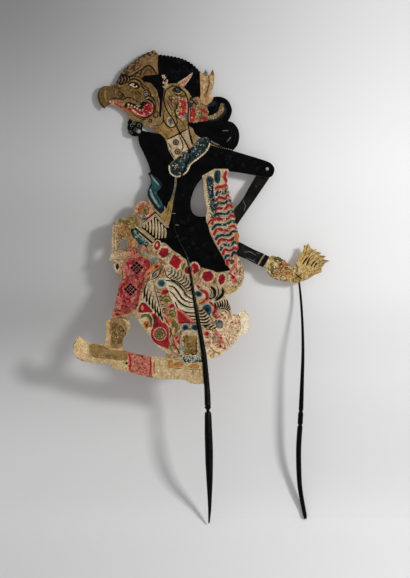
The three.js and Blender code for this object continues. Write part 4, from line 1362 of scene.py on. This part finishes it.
# %% Column and drop with a flower
figure.draw("""
column = field: -84,312 -76,306 -70,298 -62,292 -60,276 -60,258 -72,264 -84,272 -86,286
cream line 4 0.6: -87,312 -86,294 -88,280 -82,266 -68,257 -60,250
+ dots 12 1.5: -90,294 -91,280 -85,266 -72,256
red shape: column
crimson speckle 22 2.4 45: column
+ line 2: -62,290 -60,278 -63,268
+ line 2.2: -86,280 -80,268 -68,262
dark_red field: -82,308 -77,304 -75,292 -83,290
cream disc 9.9: -72.5,279.8
red ring 8.6 1.5: -72.5,279.8
gold_dark disc 7.8: -72.5,279.8
""")
figure.lay("olive", petals(-72.5, 279.8, 4.4, 2.3, (0.3, 1.4, 2.6, 3.6, 4.7, 5.6)))
figure.lay("gold_light", petals(-72.5, 279.8, 5.4, 0.8, (0.8, 2.0, 3.1, 4.2, 5.2, 6.1)))
figure.draw("""
ink dots 6 0.8: -77,283 -72,284 -69,280 -71,275 -76,276
+ line 1: -76,281 -72,278
""")

# %% Green bud, orange heart and the dark drop above them
figure.draw("""
cream field: -106,300 -98,311 -88,310 -82,300 -86,284 -96,286 -102,296
olive line 5 0.6: -100,304 -97,307 -89,306 -86,299 -87,290
night_green line 1: -102,302 -96,309 -88,307 -84,299 -86,288
gold_light line 1.6: -94,303 -89,301 -88,293
+ line 3: -97,294 -96,288
orange field: -96,298 -90,299 -88.5,291 -93,287 -96,292
dark_red oval 3 1.4 80: -92,292.5
cream field: -107,313 -102,328 -95,328 -88,322 -80,311 -92,310 -100,309
crimson field: -105,314 -101,325 -96,326 -90,321 -83,312 -92,312 -100,311
pink leaf 9 4 88: -98.8,314
dark_red line 1: -104,314 -100,325 -94,324 -85,313
""")

# %% [markdown]
# Below the flowers hang a plain brown panel and a fringe. Under them runs a strip of
# ground, a worn band of red and brown on cream, cut in one with the rest of the hide.
# Its patches are broad fields with many fine spots, as flaked paint looks.

# %% Plain brown panel
figure.draw("""
cream field: -40,282 -16,282 -14,246 -40,246
brown_panel = shape: -38,277 -18,277.5 -18,249.5 -37,249
gold_tan shape: brown_panel
gold_dark speckle 22 5 119: brown_panel
olive speckle 8 3.6 120: brown_panel
gold_tan line 2.6: -34,276 -34,264 -35,253
ink line 1.4: -37,250 -28,249 -18,249.5
+ line 0.9: -18.4,277 -18,264 -18,250
""")

# %% Fringe below the panel
figure.draw("""
fringe_top = shape: -49,260 -43,251 -35,248 -24,247 -11,249
fringe_foot = shape: -45,252 -41,242 -33,237.5 -24,236 -11,238
pale_teal band 0 1: fringe_top / fringe_foot
+ oval 5.4 3.4 120: -39.6,259
teal band 0.2 0.9: fringe_top / fringe_foot
night_green rungs 13 1.8 0.12: fringe_top / fringe_foot
+ line 1: -41,242 -33,237.5 -24,236 -11,238
fringe = band 0 1: fringe_top / fringe_foot
pale_teal speckle 26 3 121: fringe
fringe_wide = band -0.2 1.1: fringe_top / fringe_foot
bone_white speckle 24 2.4 122: fringe_wide
+ rungs 11 0.8: -40,247 -24,244 -13,246 / -39,243 -24,240 -13,242
""")

# %% Ground strip
# Just below the front leg the strip carries a darker brown band.
figure.draw("""
strip_ground shape: -215,285 -188,285 -157,264 -125,254 -96,250 -60,244 -34,237 0,238 0,200 -40,200
    -140,220 -215,230
bone_white speckle 26 1.8 46: -156,262 -60,240 -60,222 -150,234
brown_stain speckle 30 2.2 47: -156,262 -40,238 -40,214 -150,230
orange_brown oval 8 4.4 5: -44.5,234.5
+ oval 8 4 0: -21.5,232
+ field: -60,240 -54,241 -52,230 -60,230
brown line 1.4: -31,228 -22,226.5 -12,227.5
+ line 1.6: -24,226 -23,219
+ line 1: -14,228 -13,216
+ line 1.2: -52,230 -44,228.5 -36,230
gold_tan field: -177,264 -160,263.5 -140,256 -121,254 -122,241 -150,243 -172,246
brown_stain field: -170,259 -158,259.5 -140,252.5 -128,250 -128,246 -150,248 -166,251
toe_cream field: -214,284 -200,286 -188,280 -180,262 -184,244 -198,240 -212,250
strip_red = shape: -121,256 -100,253 -86,250 -84,214 -118,222
strip_red shape: strip_red
pink speckle 60 3.4 48: strip_red
red line 3 0.5: -119,252 -116,240 -117,226
+ line 3: -106,250 -100,248 -97,243
+ line 3 0.5: -87,246 -86,232 -88,218
+ speckle 50 2.8 49: strip_red
pink line 3: -80,240 -82,230 -80,220
ink disc 1.9: -121.8,236.3
+ line 1: -127,237 -124,238
+ line 0.9: -192,276 -200,264 -200.5,252 -194,244 -184,239.5
""")

# %% Front leg
figure.draw("""
leg_cream field: -154,302 -140,302 -124,302 -116,290 -122,272 -122,256 -156,262
gold_light line 4 0.7: -151,299 -150,288 -151,276
pink line 1.6: -146,300 -146,290 -147,280
brown_stain field: -146,302 -134,303 -124,298 -122,284 -127,262 -145,260 -145,280
brown field: -143,295 -134,294 -127,290 -126,278 -130,266 -143,265 -144,280
leg_patch = shape: -145,300 -125,296 -127,264 -145,262
olive speckle 26 2.6 50: leg_patch
brown_stain speckle 30 2.4 59: leg_patch
cream speckle 40 1.7 60: -154,302 -118,302 -120,258 -156,262
ink disc 1.6: -126.5,284
+ disc 1: -124,281
cream line 2.4: -119,300 -117,290 -119,282
+ line 2.2: -124,277 -125,268 -123,258
""")

# %% [markdown]
# Behind the wing the skirt runs out into red tendrils, small feathers with round eyes and
# a speckled lobe. They were painted last, so they cover the edges of the wing.

# %% Red tendrils and eyes behind the wing
red_waves = [
    path("-18,352 -11.7,345 -3.4,340 -3,332 -10,327"),
    path("0,327 8,322 9.7,315 6.4,309 14.6,304 21,309"),
]
figure.draw("""
cream field: -14,324 0,330 10,326 16,312 6,300 -4,304
+ field: -22,350 -8,352 4,342 2,328 -14,330
""")
for wave in red_waves:
    figure.lay("pink", line(wave, 6.4, ends=0.6))
    figure.lay("red", line(wave, 4.4, ends=0.5))
    figure.lay("crimson", line([(x - 0.4, z - 0.8) for x, z in wave], 1.5))
figure.draw("""
pale_teal oval 3 1.6 20: -12,347
+ oval 6.4 5 160: -15.4,339
+ field: -11,319 -4,325 3,322 5,313 0,306 -6,309
teal oval 5 3.8 160: -15.4,339
+ field: -9.4,318 -4,323 2,321 3.4,313 0,308 -5,311
night_blue disc 2: -15,339
+ disc 2.8: -3,315.5
+ line 1.8: 0,310 3,303 8,296
orange oval 6 4.4 20: -9.8,327.5
gold_light oval 3 1.6 20: -10.5,328.5
crimson line 1.8: -14,325 -9,327.6 -6,331
""")

# %% Rear feathers
figure.draw("""
rear_outer = shape: 2,352 12,353 21,347 23,334 17,322
rear_inner = shape: 0,346 4,341 6,334 5,328 6,324
cream band 0 1: rear_outer / rear_inner
ink line 5.4: 2,350 8,344.5 7.5,336 0,331.5
+ line 5: 20,348 20,338 9,328.5
+ line 1.8: 11,351 14.5,343 12,335 8,331
+ line 1.3: 0,347 4,342 1,335
smoke line 0.9: 15,350 17.5,342 14,335
pale_teal oval 3.6 2 60: 4.5,336
ink rungs 8 2.6 0.15: 8,326 16,329 25,332 33,328 / 10,318 14,317 22,316 29,314
cream line 4: 14,314 22,315 31,311 32,304
ink line 1.5: 14,316 22,317 30,313 31.5,306
+ line 1.1: 17,312.6 24,313.4 28,309
lower_left = shape: -16,314 -14,304 -12,294 -4,288
lower_right = shape: -8,316 -2,308 3,301 11,290
cream band -0.1 1.05: lower_left / lower_right
ink rungs 8 2.8 -0.16: lower_left / lower_right
olive line 1.6: 4,306 10,308 16,306
smoke field: 8,299 15,301 21,297 20,289 12,288.5
ink speckle 10 2 51: 9,300 20,299 20,290 10,290
""")

# %% Speckled lobe and the ground round it
figure.draw("""
speckled_lobe = field: 20,308 34,310 44,302 45,290 34,284 22,288
pink speckle 14 2.8 52: speckled_lobe
brown speckle 7 1.8 53: speckled_lobe
pink field: 8,282 16,280 22,270 18,258 10,262 6,272
lower_right_ground = shape: 0,300 24,318 46,306 44,280 28,260 4,242 -6,262
cream speckle 90 4 54: lower_right_ground
pink speckle 30 3.2 55: lower_right_ground
brown_stain speckle 20 2.4 56: lower_right_ground
brown speckle 12 1.3 57: lower_right_ground
red speckle 5 1.6 58: lower_right_ground
brown line 1.2: 6,284 11,279 16,272
+ line 1.2: 2,276 6,272 5,266
+ line 1.2: 24,274 28,268 30,262
+ line 1: 43,308 46,302
dark_red disc 1.4: 17.5,274
+ disc 1.7: 17,262
+ disc 1.1: 12,264
+ disc 1.3: 34,297
+ disc 1: 34,289
+ disc 1.1: 24,305
+ line 1.3: 10,268 14,266
olive_grey oval 3 2 30: 7,274
+ line 1.2: 28,306 30,302
pink disc 5: -3.4,280
crimson disc 3: -3.4,280
gold_tan line 2: 0,262 8,254 18,251
+ line 1.6: 2,248 8,252
""")

# %% Lay the paint on the hide
lay_paint(figure, "hide_body", "figure")

# %% [markdown]
# The painter finished the rims with rows of small raised drops of pale paint. They follow
# paths at an even pitch, which is what Geometry Nodes are for: a tree walks each path,
# sets a small flattened ball at each step, and varies its size from a fixed seed. The
# same paths serve both faces of the hide.

# %% Helper for geometry trees


class Growth:
    """A geometry tree that turns paths into one finished mesh."""

    def __init__(self, name, values):
        self.tree = bpy.data.node_groups.new(name, "GeometryNodeTree")
        self.socket("Paths", "Geometry")
        for label, value in values.items():
            self.socket(label, "Int" if isinstance(value, int) else "Float").default_value = value
        self.socket("Finish", "Material")
        self.given = self.add("NodeGroupInput", {}).outputs

    def socket(self, label, kind, side="INPUT"):
        return self.tree.interface.new_socket(label, in_out=side, socket_type="NodeSocket" + kind)

    def add(self, kind, inputs, **settings):
        return add_node(self.tree, kind, inputs, **settings)

    def end(self, geometry):
        """Makes the instances real, sets the finish and gives the tree back."""
        self.socket("Result", "Geometry", "OUTPUT")
        real = self.add("GeometryNodeRealizeInstances", {"Geometry": geometry}).outputs["Geometry"]
        given = {"Geometry": real, "Material": self.given["Finish"]}
        paint = self.add("GeometryNodeSetMaterial", given).outputs["Geometry"]
        self.add("NodeGroupOutput", {"Result": paint})
        return self.tree

# %% Drops along paths


def bead_tree():
    growth = Growth("drops_along_paths", {"Pitch": 0.0023, "Radius": 0.0007, "Flatness": 0.4, "Seed": 5})
    given = growth.given
    walk = {"Curve": given["Paths"], "Length": given["Pitch"]}
    steps = growth.add("GeometryNodeCurveToPoints", walk, mode="LENGTH").outputs["Points"]
    ball = growth.add("GeometryNodeMeshUVSphere", {"Segments": 7, "Rings": 4, "Radius": given["Radius"]})
    flat = growth.add("ShaderNodeCombineXYZ", {"X": 1, "Y": given["Flatness"], "Z": 1}).outputs["Vector"]
    drop = growth.add("GeometryNodeTransform", {"Geometry": ball.outputs["Mesh"], "Scale": flat})
    # The least and greatest size are the third and fourth socket of this node.
    sizes = {2: 0.7, 3: 1.15, "Seed": given["Seed"]}
    size = growth.add("FunctionNodeRandomValue", sizes, data_type="FLOAT").outputs[1]
    drops = {"Points": steps, "Instance": drop.outputs["Geometry"], "Scale": size}
    return growth.end(growth.add("GeometryNodeInstanceOnPoints", drops).outputs["Instances"])

# %% Run a tree on paths


def path_curve(name, paths, closed=False):
    """A curve object of plain splines. Each path is a list of (x, y, z) in millimetres."""
    data = bpy.data.curves.new(name, "CURVE")
    data.dimensions = "3D"
    for places in paths:
        one = data.splines.new("POLY")
        one.points.add(len(places) - 1)
        one.use_cyclic_u = closed
        for point, (x, y, z) in zip(one.points, places):
            point.co = (x * MM, y * MM, z * MM, 1)
    curve = bpy.data.objects.new(name, data)
    bpy.context.scene.collection.objects.link(curve)
    return curve


def grown(name, curve, tree, values):
    """Runs a tree on a curve and keeps the result as a plain mesh."""
    modifier = curve.modifiers.new("grow", "NODES")
    modifier.node_group = tree
    sockets = {item.name: item.identifier for item in tree.interface.items_tree if item.in_out == "INPUT"}
    for label, value in values.items():
        modifier[sockets[label]] = value
    view = bpy.context.evaluated_depsgraph_get()
    mesh = bpy.data.meshes.new_from_object(curve.evaluated_get(view))
    mesh.name = name
    piece = bpy.data.objects.new(name, mesh)
    bpy.context.scene.collection.objects.link(piece)
    curve.modifiers.clear()
    bpy.data.objects.remove(curve)
    print(name, "faces:", len(mesh.polygons))
    return piece

# %% Drops of pale paint along the rims
drop_finish = coat("pale_drops", (214, 198, 164), (186, 166, 128), 0.2, (222, 206, 176), mottle=0.2)
rims = [named["shawl_edge"], path("-6,508 -4.6,494 -3,478 -0.5,463")]
rims += [oval(x, z, long + 1.5, wide + 1.4, turn) for x, z, long, wide, turn, sides in jewels]
rims += [oval(-72.5, 279.8, 9.4, 9.4), path("-58,344 -52,339 -46,331")]
rims += [path("49,372 49.5,362 45,352 36,345 27,342"), path("-139,440 -139.5,420 -139,400")]
rims.append(oval(-97, 462, 9.6, 9.6))
hide_low, hide_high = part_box("hide_body")
drop_paths = [
    [(p.x, y / MM, p.y) for p in spline(rim, GUIDE_STEPS)]
    for rim in rims for y in (hide_low[1] - PAINT_PROUD_MM * MM, hide_high[1] + PAINT_PROUD_MM * MM)
]
drops = grown("pale_drops", path_curve("drop_paths", drop_paths), bead_tree(), {"Finish": drop_finish})
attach(drops, "figure")

# %% [markdown]
# The arm is painted by itself, because its two pieces move. The sleeve stays black with
# grey streaks, its black lifted a little towards grey as a painted sheen, two pale bands
# close the cuff, and the bracelet and hand are gilt with fine brown lines.

# %% Forearm
arm = Painting()
# The gold-light and pale cream spots on the bracelet are partly flaked paint and partly painted glints of its
# gilding.
arm.draw("""
sleeve shape: -2,440 100,400 82,374 -2,400
smoke_dark field: 44,406 56,404 70,396 66,388 50,392
+ field: 20,420 34,412 40,402 24,406
smoke line 1.2: 52,400 60,402 70,396
+ line 0.9: 50,392 62,390 70,385
+ line 0.8: 70,401 76,398
+ speckle 14 1.3 61: 10,424 72,402 70,382 14,404
pale_cuff line 2.2 0.8: 84,399.5 78,391 73,382
+ line 1.6 0.8: 91,395 86,386 80,377
ink line 2.8 0.9: 88,396 83,387 78,379
bracelet = field: 93,398 104,398 116,392 126,384 128,372 124,356 108,352 92,358 82,372 86,386
gilt shape: bracelet
olive speckle 34 4 62: bracelet
gold_light speckle 44 3.4 63: bracelet
pink speckle 26 3.2 64: bracelet
olive field: 96,392 102,396 110,392 108,387 98,387
+ field: 91,378 95,380 97,374 92,370
bone_white disc 4: 110,362
+ line 2: 92,364 98,359 106,357
+ disc 2.2: 99,383
+ line 1.6: 88,388 86,378 89,370
pink disc 3.4: 100,371
+ line 2: 104,362 112,359 118,361
+ oval 5 3 160: 114,383
orange field: 102,384 108,386 112,380 106,377
+ oval 4 2.4 20: 117,370
gold_light disc 2.6: 110,362
umber curl 3.6 40 1.1 1.3: 94,382
+ oval 3 1.6 60: 107,384
+ line 1.5: 103,378 106,377
+ ring 4.6 1.1: 110,362
+ line 1: 86,376 90,368 98,362 106,360
+ line 1: 97,374 101,377 106,373 104,368 98,368
+ line 1.2: 112,374 118,376 124,372
+ line 0.9: 92,394 100,390 112,388 122,380
brown rungs 12 0.9: 96,359 108,356 120,356 132,357 / 97,363 108,361 120,361 132,361
+ speckle 46 1.7 65: bracelet
lobe_cream speckle 26 1.8 103: bracelet
umber speckle 24 1.4 104: bracelet
""")

# %% Hand
arm.draw("""
palm = shape: 122,388 130,380 136,352 152,356 176,366 190,392 150,420 136,416 126,392
gilt shape: palm
gold_light speckle 44 3.6 66: palm
brown_stain speckle 40 2.2 67: palm
gold_dark speckle 26 1.8 105: palm
bone_white disc 3.2: 145,364
+ line 2: 130,386 133,376 140,370
+ line 2.4: 160,376 170,382 178,388
olive line 2.4: 128,384 132,378 130,371
+ line 1.6: 136,402 141,408 142,413
brown flow 6 1: 136,386 143,398 146,412 / 158,376 170,382 181,388
ink line 2.2: 138.5,382 142,388 146.5,394
+ line 2.2: 144,380 147,387 150.5,393.5
+ line 2.1: 151.5,379 154,384 157.5,389
+ line 2: 156,377.5 158,382 161,386
""")
knuckles = path("148,399 153.5,396 159,392.5 164,388.5 168.5,384.5")
arm.lay("umber", *[line([(x - 2, z - 2), (x + 2.4, z + 1)], 1.1) for x, z in knuckles])
arm.draw("""
brown rungs 5 1.1: 144,402 154,400 164,394 170,388 / 147,412 160,405 173,395 179,388
+ rungs 9 0.8: 134,357 146,361 156,367 / 135,361 146,365 154,371
+ line 1: 148,372 158,374 166,378
""")
lay_paint(arm, "forearm_hand", "forearm")

# %% Upper arm
upper = Painting()
upper.draw("""
sleeve shape: 60,540 110,540 110,500 30,400 -10,400 -10,440 40,470
smoke_dark field: 56,480 64,478 60,466 48,462 46,470
strap_rubs = shape: 70,520 94,520 40,430 14,430
+ speckle 22 2.2 68: strap_rubs
smoke line 1: 50,478 54,470 52,462
+ speckle 8 1.1 69: strap_rubs
""")
lay_paint(upper, "upper_arm", "upper_arm")

# %% Finishes of the pieces that keep their own meshes


def dress(node, material):
    data = nodes[node].data
    data.materials.clear()
    data.materials.append(material)


def horn(streak_mm=5, rub_mm=9):
    """Black horn with brown streaks that run along the rod, and rubs that are less glossy."""
    recipe = Recipe("polished_horn")
    streaks = recipe.noise(streak_mm, detail=6, stretch=(1, 1, 0.08), distortion=0.4)
    colour = recipe.mix(recipe.spread(streaks, 0.5, 0.78), linear((3, 2, 2)), linear((18, 12, 9)))
    roughness = recipe.spread(recipe.noise(rub_mm, detail=5), 0.3, 0.7, 0.24, 0.46)
    return recipe.finish(colour, roughness, shine=0.07, height=streaks, depth_mm=0.15, strength=0.3)


parchment = coat("parchment", (158, 134, 98), (128, 100, 64), wear=0.4, under=(176, 156, 122), patch_mm=22)
black_hide = coat("black_hide", (4, 4, 3), (10, 9, 8), wear=0.05, under=(44, 40, 34), shine=0.02)
gilt_hide = coat("gilt_hide", (178, 150, 98), (146, 116, 66), wear=0.35, under=(196, 170, 122), rough=0.5)
bone = coat("bone", (150, 146, 132), (116, 110, 94), wear=0.2, under=(176, 170, 152), rough=0.4, shine=0.3)
washer = coat("raw_hide", (96, 72, 46), (70, 50, 30), wear=0.3, under=(130, 104, 72), rough=0.7)
horn_finish = horn()
dress("hide_body", parchment)
dress("upper_arm", black_hide)
dress("forearm_hand", gilt_hide)
for node in ("main_rod", "hand_rod"):
    dress(node, horn_finish)
for node in ("shoulder_peg", "elbow_peg"):
    dress(node, bone)
for node in ("shoulder_spacer", "shoulder_washer", "elbow_washer"):
    dress(node, washer)

# %% [markdown]
# The lacing is cotton thread of two plies laid round each other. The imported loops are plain
# rings, so each is replaced by its own twisted thread on the same path: a tree turns two
# strands round the path as they run along it, a whole number of times, so that the ends
# meet. The knot at the hand is made of three such loops.

# %% A tree that lays two plies round a path


def thread_tree():
    growth = Growth("two_ply_thread", {"Thread thickness": 0.0009, "Turns": 12})
    given = growth.given

    def value(operation, first, second=0):
        return growth.add("ShaderNodeMath", {0: first, 1: second}, operation=operation).outputs[0]

    def vector(operation, first, second, label=1):
        inputs = {0: first, label: second}
        return growth.add("ShaderNodeVectorMath", inputs, operation=operation).outputs["Vector"]

    even = growth.add("GeometryNodeResampleCurve", {"Curve": given["Paths"], "Count": 96}).outputs["Curve"]
    share = growth.add("GeometryNodeSplineParameter", {}).outputs["Factor"]
    angle = value("MULTIPLY", value("MULTIPLY", share, given["Turns"]), 2 * math.pi)
    normal = growth.add("GeometryNodeInputNormal", {}).outputs["Normal"]
    tangent = growth.add("GeometryNodeInputTangent", {}).outputs["Tangent"]
    side = vector("CROSS_PRODUCT", tangent, normal)
    quarter = value("MULTIPLY", given["Thread thickness"], 0.25)
    both = growth.add("GeometryNodeJoinGeometry", {})
    for turned in (quarter, value("MULTIPLY", quarter, -1)):
        along = vector("SCALE", normal, value("MULTIPLY", value("COSINE", angle), turned), "Scale")
        across = vector("SCALE", side, value("MULTIPLY", value("SINE", angle), turned), "Scale")
        moved = {"Geometry": even, "Offset": vector("ADD", along, across)}
        laid = growth.add("GeometryNodeSetPosition", moved)
        ply = growth.add("GeometryNodeCurvePrimitiveCircle", {"Resolution": 6, "Radius": quarter})
        sweep = {"Curve": laid.outputs["Geometry"], "Profile Curve": ply.outputs["Curve"]}
        strand = growth.add("GeometryNodeCurveToMesh", sweep).outputs["Mesh"]
        feed(growth.tree, both, {"Geometry": strand})
    return growth.end(both.outputs["Geometry"])

# %% Paths of the loops
THREAD_MM = 0.9
LOOP_SQUARENESS = 0.72


def rounded_loop(centre, wide, deep, half_wide, half_deep, steps=32):
    """A closed path between an oval and a rectangle, in the plane of two directions."""
    made = []
    for i in range(steps):
        turn = 2 * math.pi * i / steps
        c = math.copysign(abs(math.cos(turn)) ** LOOP_SQUARENESS, math.cos(turn))
        s = math.copysign(abs(math.sin(turn)) ** LOOP_SQUARENESS, math.sin(turn))
        made.append(tuple(centre + wide * (half_wide * c) + deep * (half_deep * s)))
    return made


def tie_path(node):
    """The middle line of a packed loop, found from the spread of its corners."""
    corners = np.array([v.co for v in nodes[node].data.vertices]) / MM
    centre = (corners.min(axis=0) + corners.max(axis=0)) / 2
    flat = (corners - centre)[:, [0, 2]]
    widest = np.linalg.eigh(flat.T @ flat)[1][:, 1]
    half_wide = np.abs(flat @ widest).max() - THREAD_MM / 2
    half_deep = np.abs(corners[:, 1] - centre[1]).max() - THREAD_MM / 2
    across = Vector((widest[0], 0, widest[1]))
    return rounded_loop(Vector(centre), across, Vector((0, 1, 0)), half_wide, half_deep)

# %% Find the loops and the knot
pale_thread = coat("pale_thread", (170, 162, 140), (140, 130, 108), 0.2, patch_mm=3, rough=0.85)
dark_thread = coat("dark_thread", (30, 27, 24), (46, 40, 34), 0.2, (80, 72, 60), patch_mm=3, rough=0.85)
twist = thread_tree()
ties = sorted(node for node in nodes if node.endswith("_tie") and node != "hand_tie")
pale_ties = [node for node in ties if node in ("hip_tie", "waist_tie")]
dark_ties = [node for node in ties if node not in pale_ties]
knot_low, knot_high = (Vector(corner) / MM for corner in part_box("hand_tie"))
KNOT_THREAD_MM, KNOT_HALF_LENGTH, KNOT_HALF_WIDTH = 0.78, 5.4, 0.62
KNOT_BEHIND_FRONT, CROSSING_DEGREES = 0.4, (32, -38)
knot = (knot_low + knot_high) / 2
knot.y = knot_low.y + KNOT_BEHIND_FRONT
knot_loops = []
for degrees in CROSSING_DEGREES:
    run = Vector((math.cos(math.radians(degrees)), 0, math.sin(math.radians(degrees))))
    knot_loops.append(rounded_loop(knot, run, Vector((-run.z, 0, run.x)), KNOT_HALF_LENGTH, KNOT_HALF_WIDTH))
rod_loop_half = (knot_high.y - knot.y - THREAD_MM / 2) / 2
rod_middle = knot + Vector((0, rod_loop_half, 0))
inwards, sideways = Vector((0, 1, 0)), Vector((1, 0, 0))
knot_loops.append(rounded_loop(rod_middle, inwards, sideways, rod_loop_half, KNOT_HALF_WIDTH))
pale_loops = [tie_path(node) for node in pale_ties]
dark_loops = [tie_path(node) for node in dark_ties]

# %% Lay the threads
lacings = (
    ("pale_lacing", pale_loops, THREAD_MM, pale_thread, "pale_thread", "figure", pale_ties),
    ("dark_lacing", dark_loops, THREAD_MM, dark_thread, "dark_thread", "figure", dark_ties),
    ("hand_knot", knot_loops, KNOT_THREAD_MM, dark_thread, "dark_thread", "hand_thread", ["hand_tie"]),
)
for name, paths, thickness, finish, slot, body, replaced in lacings:
    values = {"Thread thickness": thickness * MM, "Finish": finish}
    piece = grown(name, path_curve(name + "_paths", paths, closed=True), twist, values)
    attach(piece, body)
    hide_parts(*replaced)

# %% [markdown]
# The stage is a pale floor and a wall just behind the figure. The wall's grey is painted
# darker towards its top and its left, as painted light falloff from the lamp on the right.
# The wall bends away behind the feet, so the soft shadow moves aside there, and it lets
# light through from behind so that the back can be looked at too.

# %% Shape and painted light of the wall
# Height, then the depth behind the hide on the left and on the right.
WALL_STATIONS = [
    (-300, -700, -700), (-160, -330, -330), (-80, -120, -130), (-30, -30, -24), (0, 3, 14), (16, 18, 18),
    (50, 45, 27), (83, 60, 37), (130, 70, 44), (182, 76, 46), (235, 79, 45), (285, 66, 34), (330, 46, 24),
    (380, 36, 22), (430, 32, 22), (500, 13, 22), (560, 8, 20), (640, 7, 12), (720, 9, 12), (860, 22, 22),
    (1040, 40, 40),
]
# How far the wall bends: its outer edges, and where it passes from left to right.
WALL_EDGE, BEND_LEFT, BEND_RIGHT = 700, -50, 110
# The wall's grey on its left and right at the foot, then the greys that it passes into
# between two heights, in metres. These greys are painted light: darker at the top and on
# the left, where less of the lamp's light falls.
FOOT_PAINTED_LIGHT_GREYS = (0.7, 0.8)
WALL_PAINTED_LIGHT_GREYS = ((-0.08, 0.08, 0.66, 0.7), (0.08, 0.34, 0.42, 0.82), (0.5, 0.82, 0.22, 0.66))
PAINTED_LIGHT_LEFT, PAINTED_LIGHT_RIGHT = -0.34, 0.3
FLOOR_MM, FLOOR_LOW = 3000, -300

# %% Wall and floor


def stage_sheet(name, rows, material):
    mesh = bpy.data.meshes.new(name)
    verts = [tuple(Vector(p) * MM) for row in rows for p in row]
    across = len(rows[0])
    faces = [
        (i * across + j, i * across + j + 1, (i + 1) * across + j + 1, (i + 1) * across + j)
        for i in range(len(rows) - 1) for j in range(across - 1)
    ]
    mesh.from_pydata(verts, [], faces)
    mesh.shade_smooth()
    mesh.materials.append(material)
    piece = bpy.data.objects.new(name, mesh)
    bpy.context.scene.collection.objects.link(piece)
    return piece


def grey(share):
    return (share, share, share, 1)


def wall_with_painted_light():
    recipe = Recipe("wall")
    recipe.material.surface_render_method = "DITHERED"
    place = recipe.add("ShaderNodeSeparateXYZ", {"Vector": recipe.place}).outputs
    # The grey darkens towards the top and the left: painted light falloff on the wall.
    across = recipe.spread(place["X"], PAINTED_LIGHT_LEFT, PAINTED_LIGHT_RIGHT)
    tone = recipe.mix(across, *map(grey, FOOT_PAINTED_LIGHT_GREYS))
    for low, high, left, right in WALL_PAINTED_LIGHT_GREYS:
        painted_light_greys = recipe.mix(across, grey(left), grey(right))
        tone = recipe.mix(recipe.spread(place["Z"], low, high), tone, painted_light_greys)
    feed(recipe.tree, recipe.shader, {"Base Color": tone, "Roughness": 0.9})
    side = recipe.add("ShaderNodeNewGeometry", {}).outputs["Backfacing"]
    clear = recipe.add("ShaderNodeBsdfTransparent", {}).outputs["BSDF"]
    blend = recipe.add("ShaderNodeMixShader", {"Fac": side, 1: recipe.shader.outputs["BSDF"], 2: clear})
    feed(recipe.tree, recipe.tree.nodes["Material Output"], {"Surface": blend.outputs["Shader"]})
    return recipe.material


wall_rows = []
for height, left, right in spline([Vector(station) for station in WALL_STATIONS], 3):
    bends = ((-WALL_EDGE, left), (BEND_LEFT, left), (BEND_RIGHT, right), (WALL_EDGE, right))
    wall_rows.append([(x, depth, height) for x, depth in bends])
stage_sheet("wall", wall_rows, wall_with_painted_light())
floor_finish = coat("floor", (226, 226, 226), (218, 218, 218), wear=0, patch_mm=300, under=(210, 210, 210))
floor_rows = [[(x, y, FLOOR_LOW) for x in (-FLOOR_MM, FLOOR_MM)] for y in (-FLOOR_MM, FLOOR_MM)]
stage_sheet("floor", floor_rows, floor_finish)

# %% [markdown]
# One soft lamp stands to the right and a little above, as the shadow on the wall says.
# The world gives an even fill. The wall keeps that fill off the back of the puppet, so a
# second lamp stands behind. Light linking, a setting of the lamp, tells it to light and
# shade the puppet's pieces alone, so the wall and floor stay as they are.

# %% Lamps and world


def lamp(name, place, aim, size, watts):
    data = bpy.data.lights.new(name, "AREA")
    data.size = size
    data.energy = watts
    light = bpy.data.objects.new(name, data)
    light.location = place
    light.rotation_euler = (Vector(aim) - Vector(place)).to_track_quat("-Z", "Y").to_euler()
    bpy.context.scene.collection.objects.link(light)
    return light


FIGURE_MIDDLE = (0, 0, 0.4)
lamp("key", place=(1.6, -1.5, 1.0), aim=FIGURE_MIDDLE, size=0.35, watts=33)
back_lamp = lamp("back", place=(-1.3, 1.7, 0.9), aim=FIGURE_MIDDLE, size=0.9, watts=26)
puppet_pieces = bpy.data.collections.new("puppet_pieces")
for thing in bpy.context.scene.objects:
    if thing.type == "MESH" and thing.name not in ("wall", "floor"):
        puppet_pieces.objects.link(thing)
back_lamp.light_linking.receiver_collection = puppet_pieces
back_lamp.light_linking.blocker_collection = puppet_pieces
world = bpy.data.worlds.new("studio")
world.use_nodes = True
fill = world.node_tree.nodes["Background"]
feed(world.node_tree, fill, {"Color": grey(1), "Strength": 0.5})
bpy.context.scene.world = world
bpy.context.scene.view_settings.view_transform = "Standard"
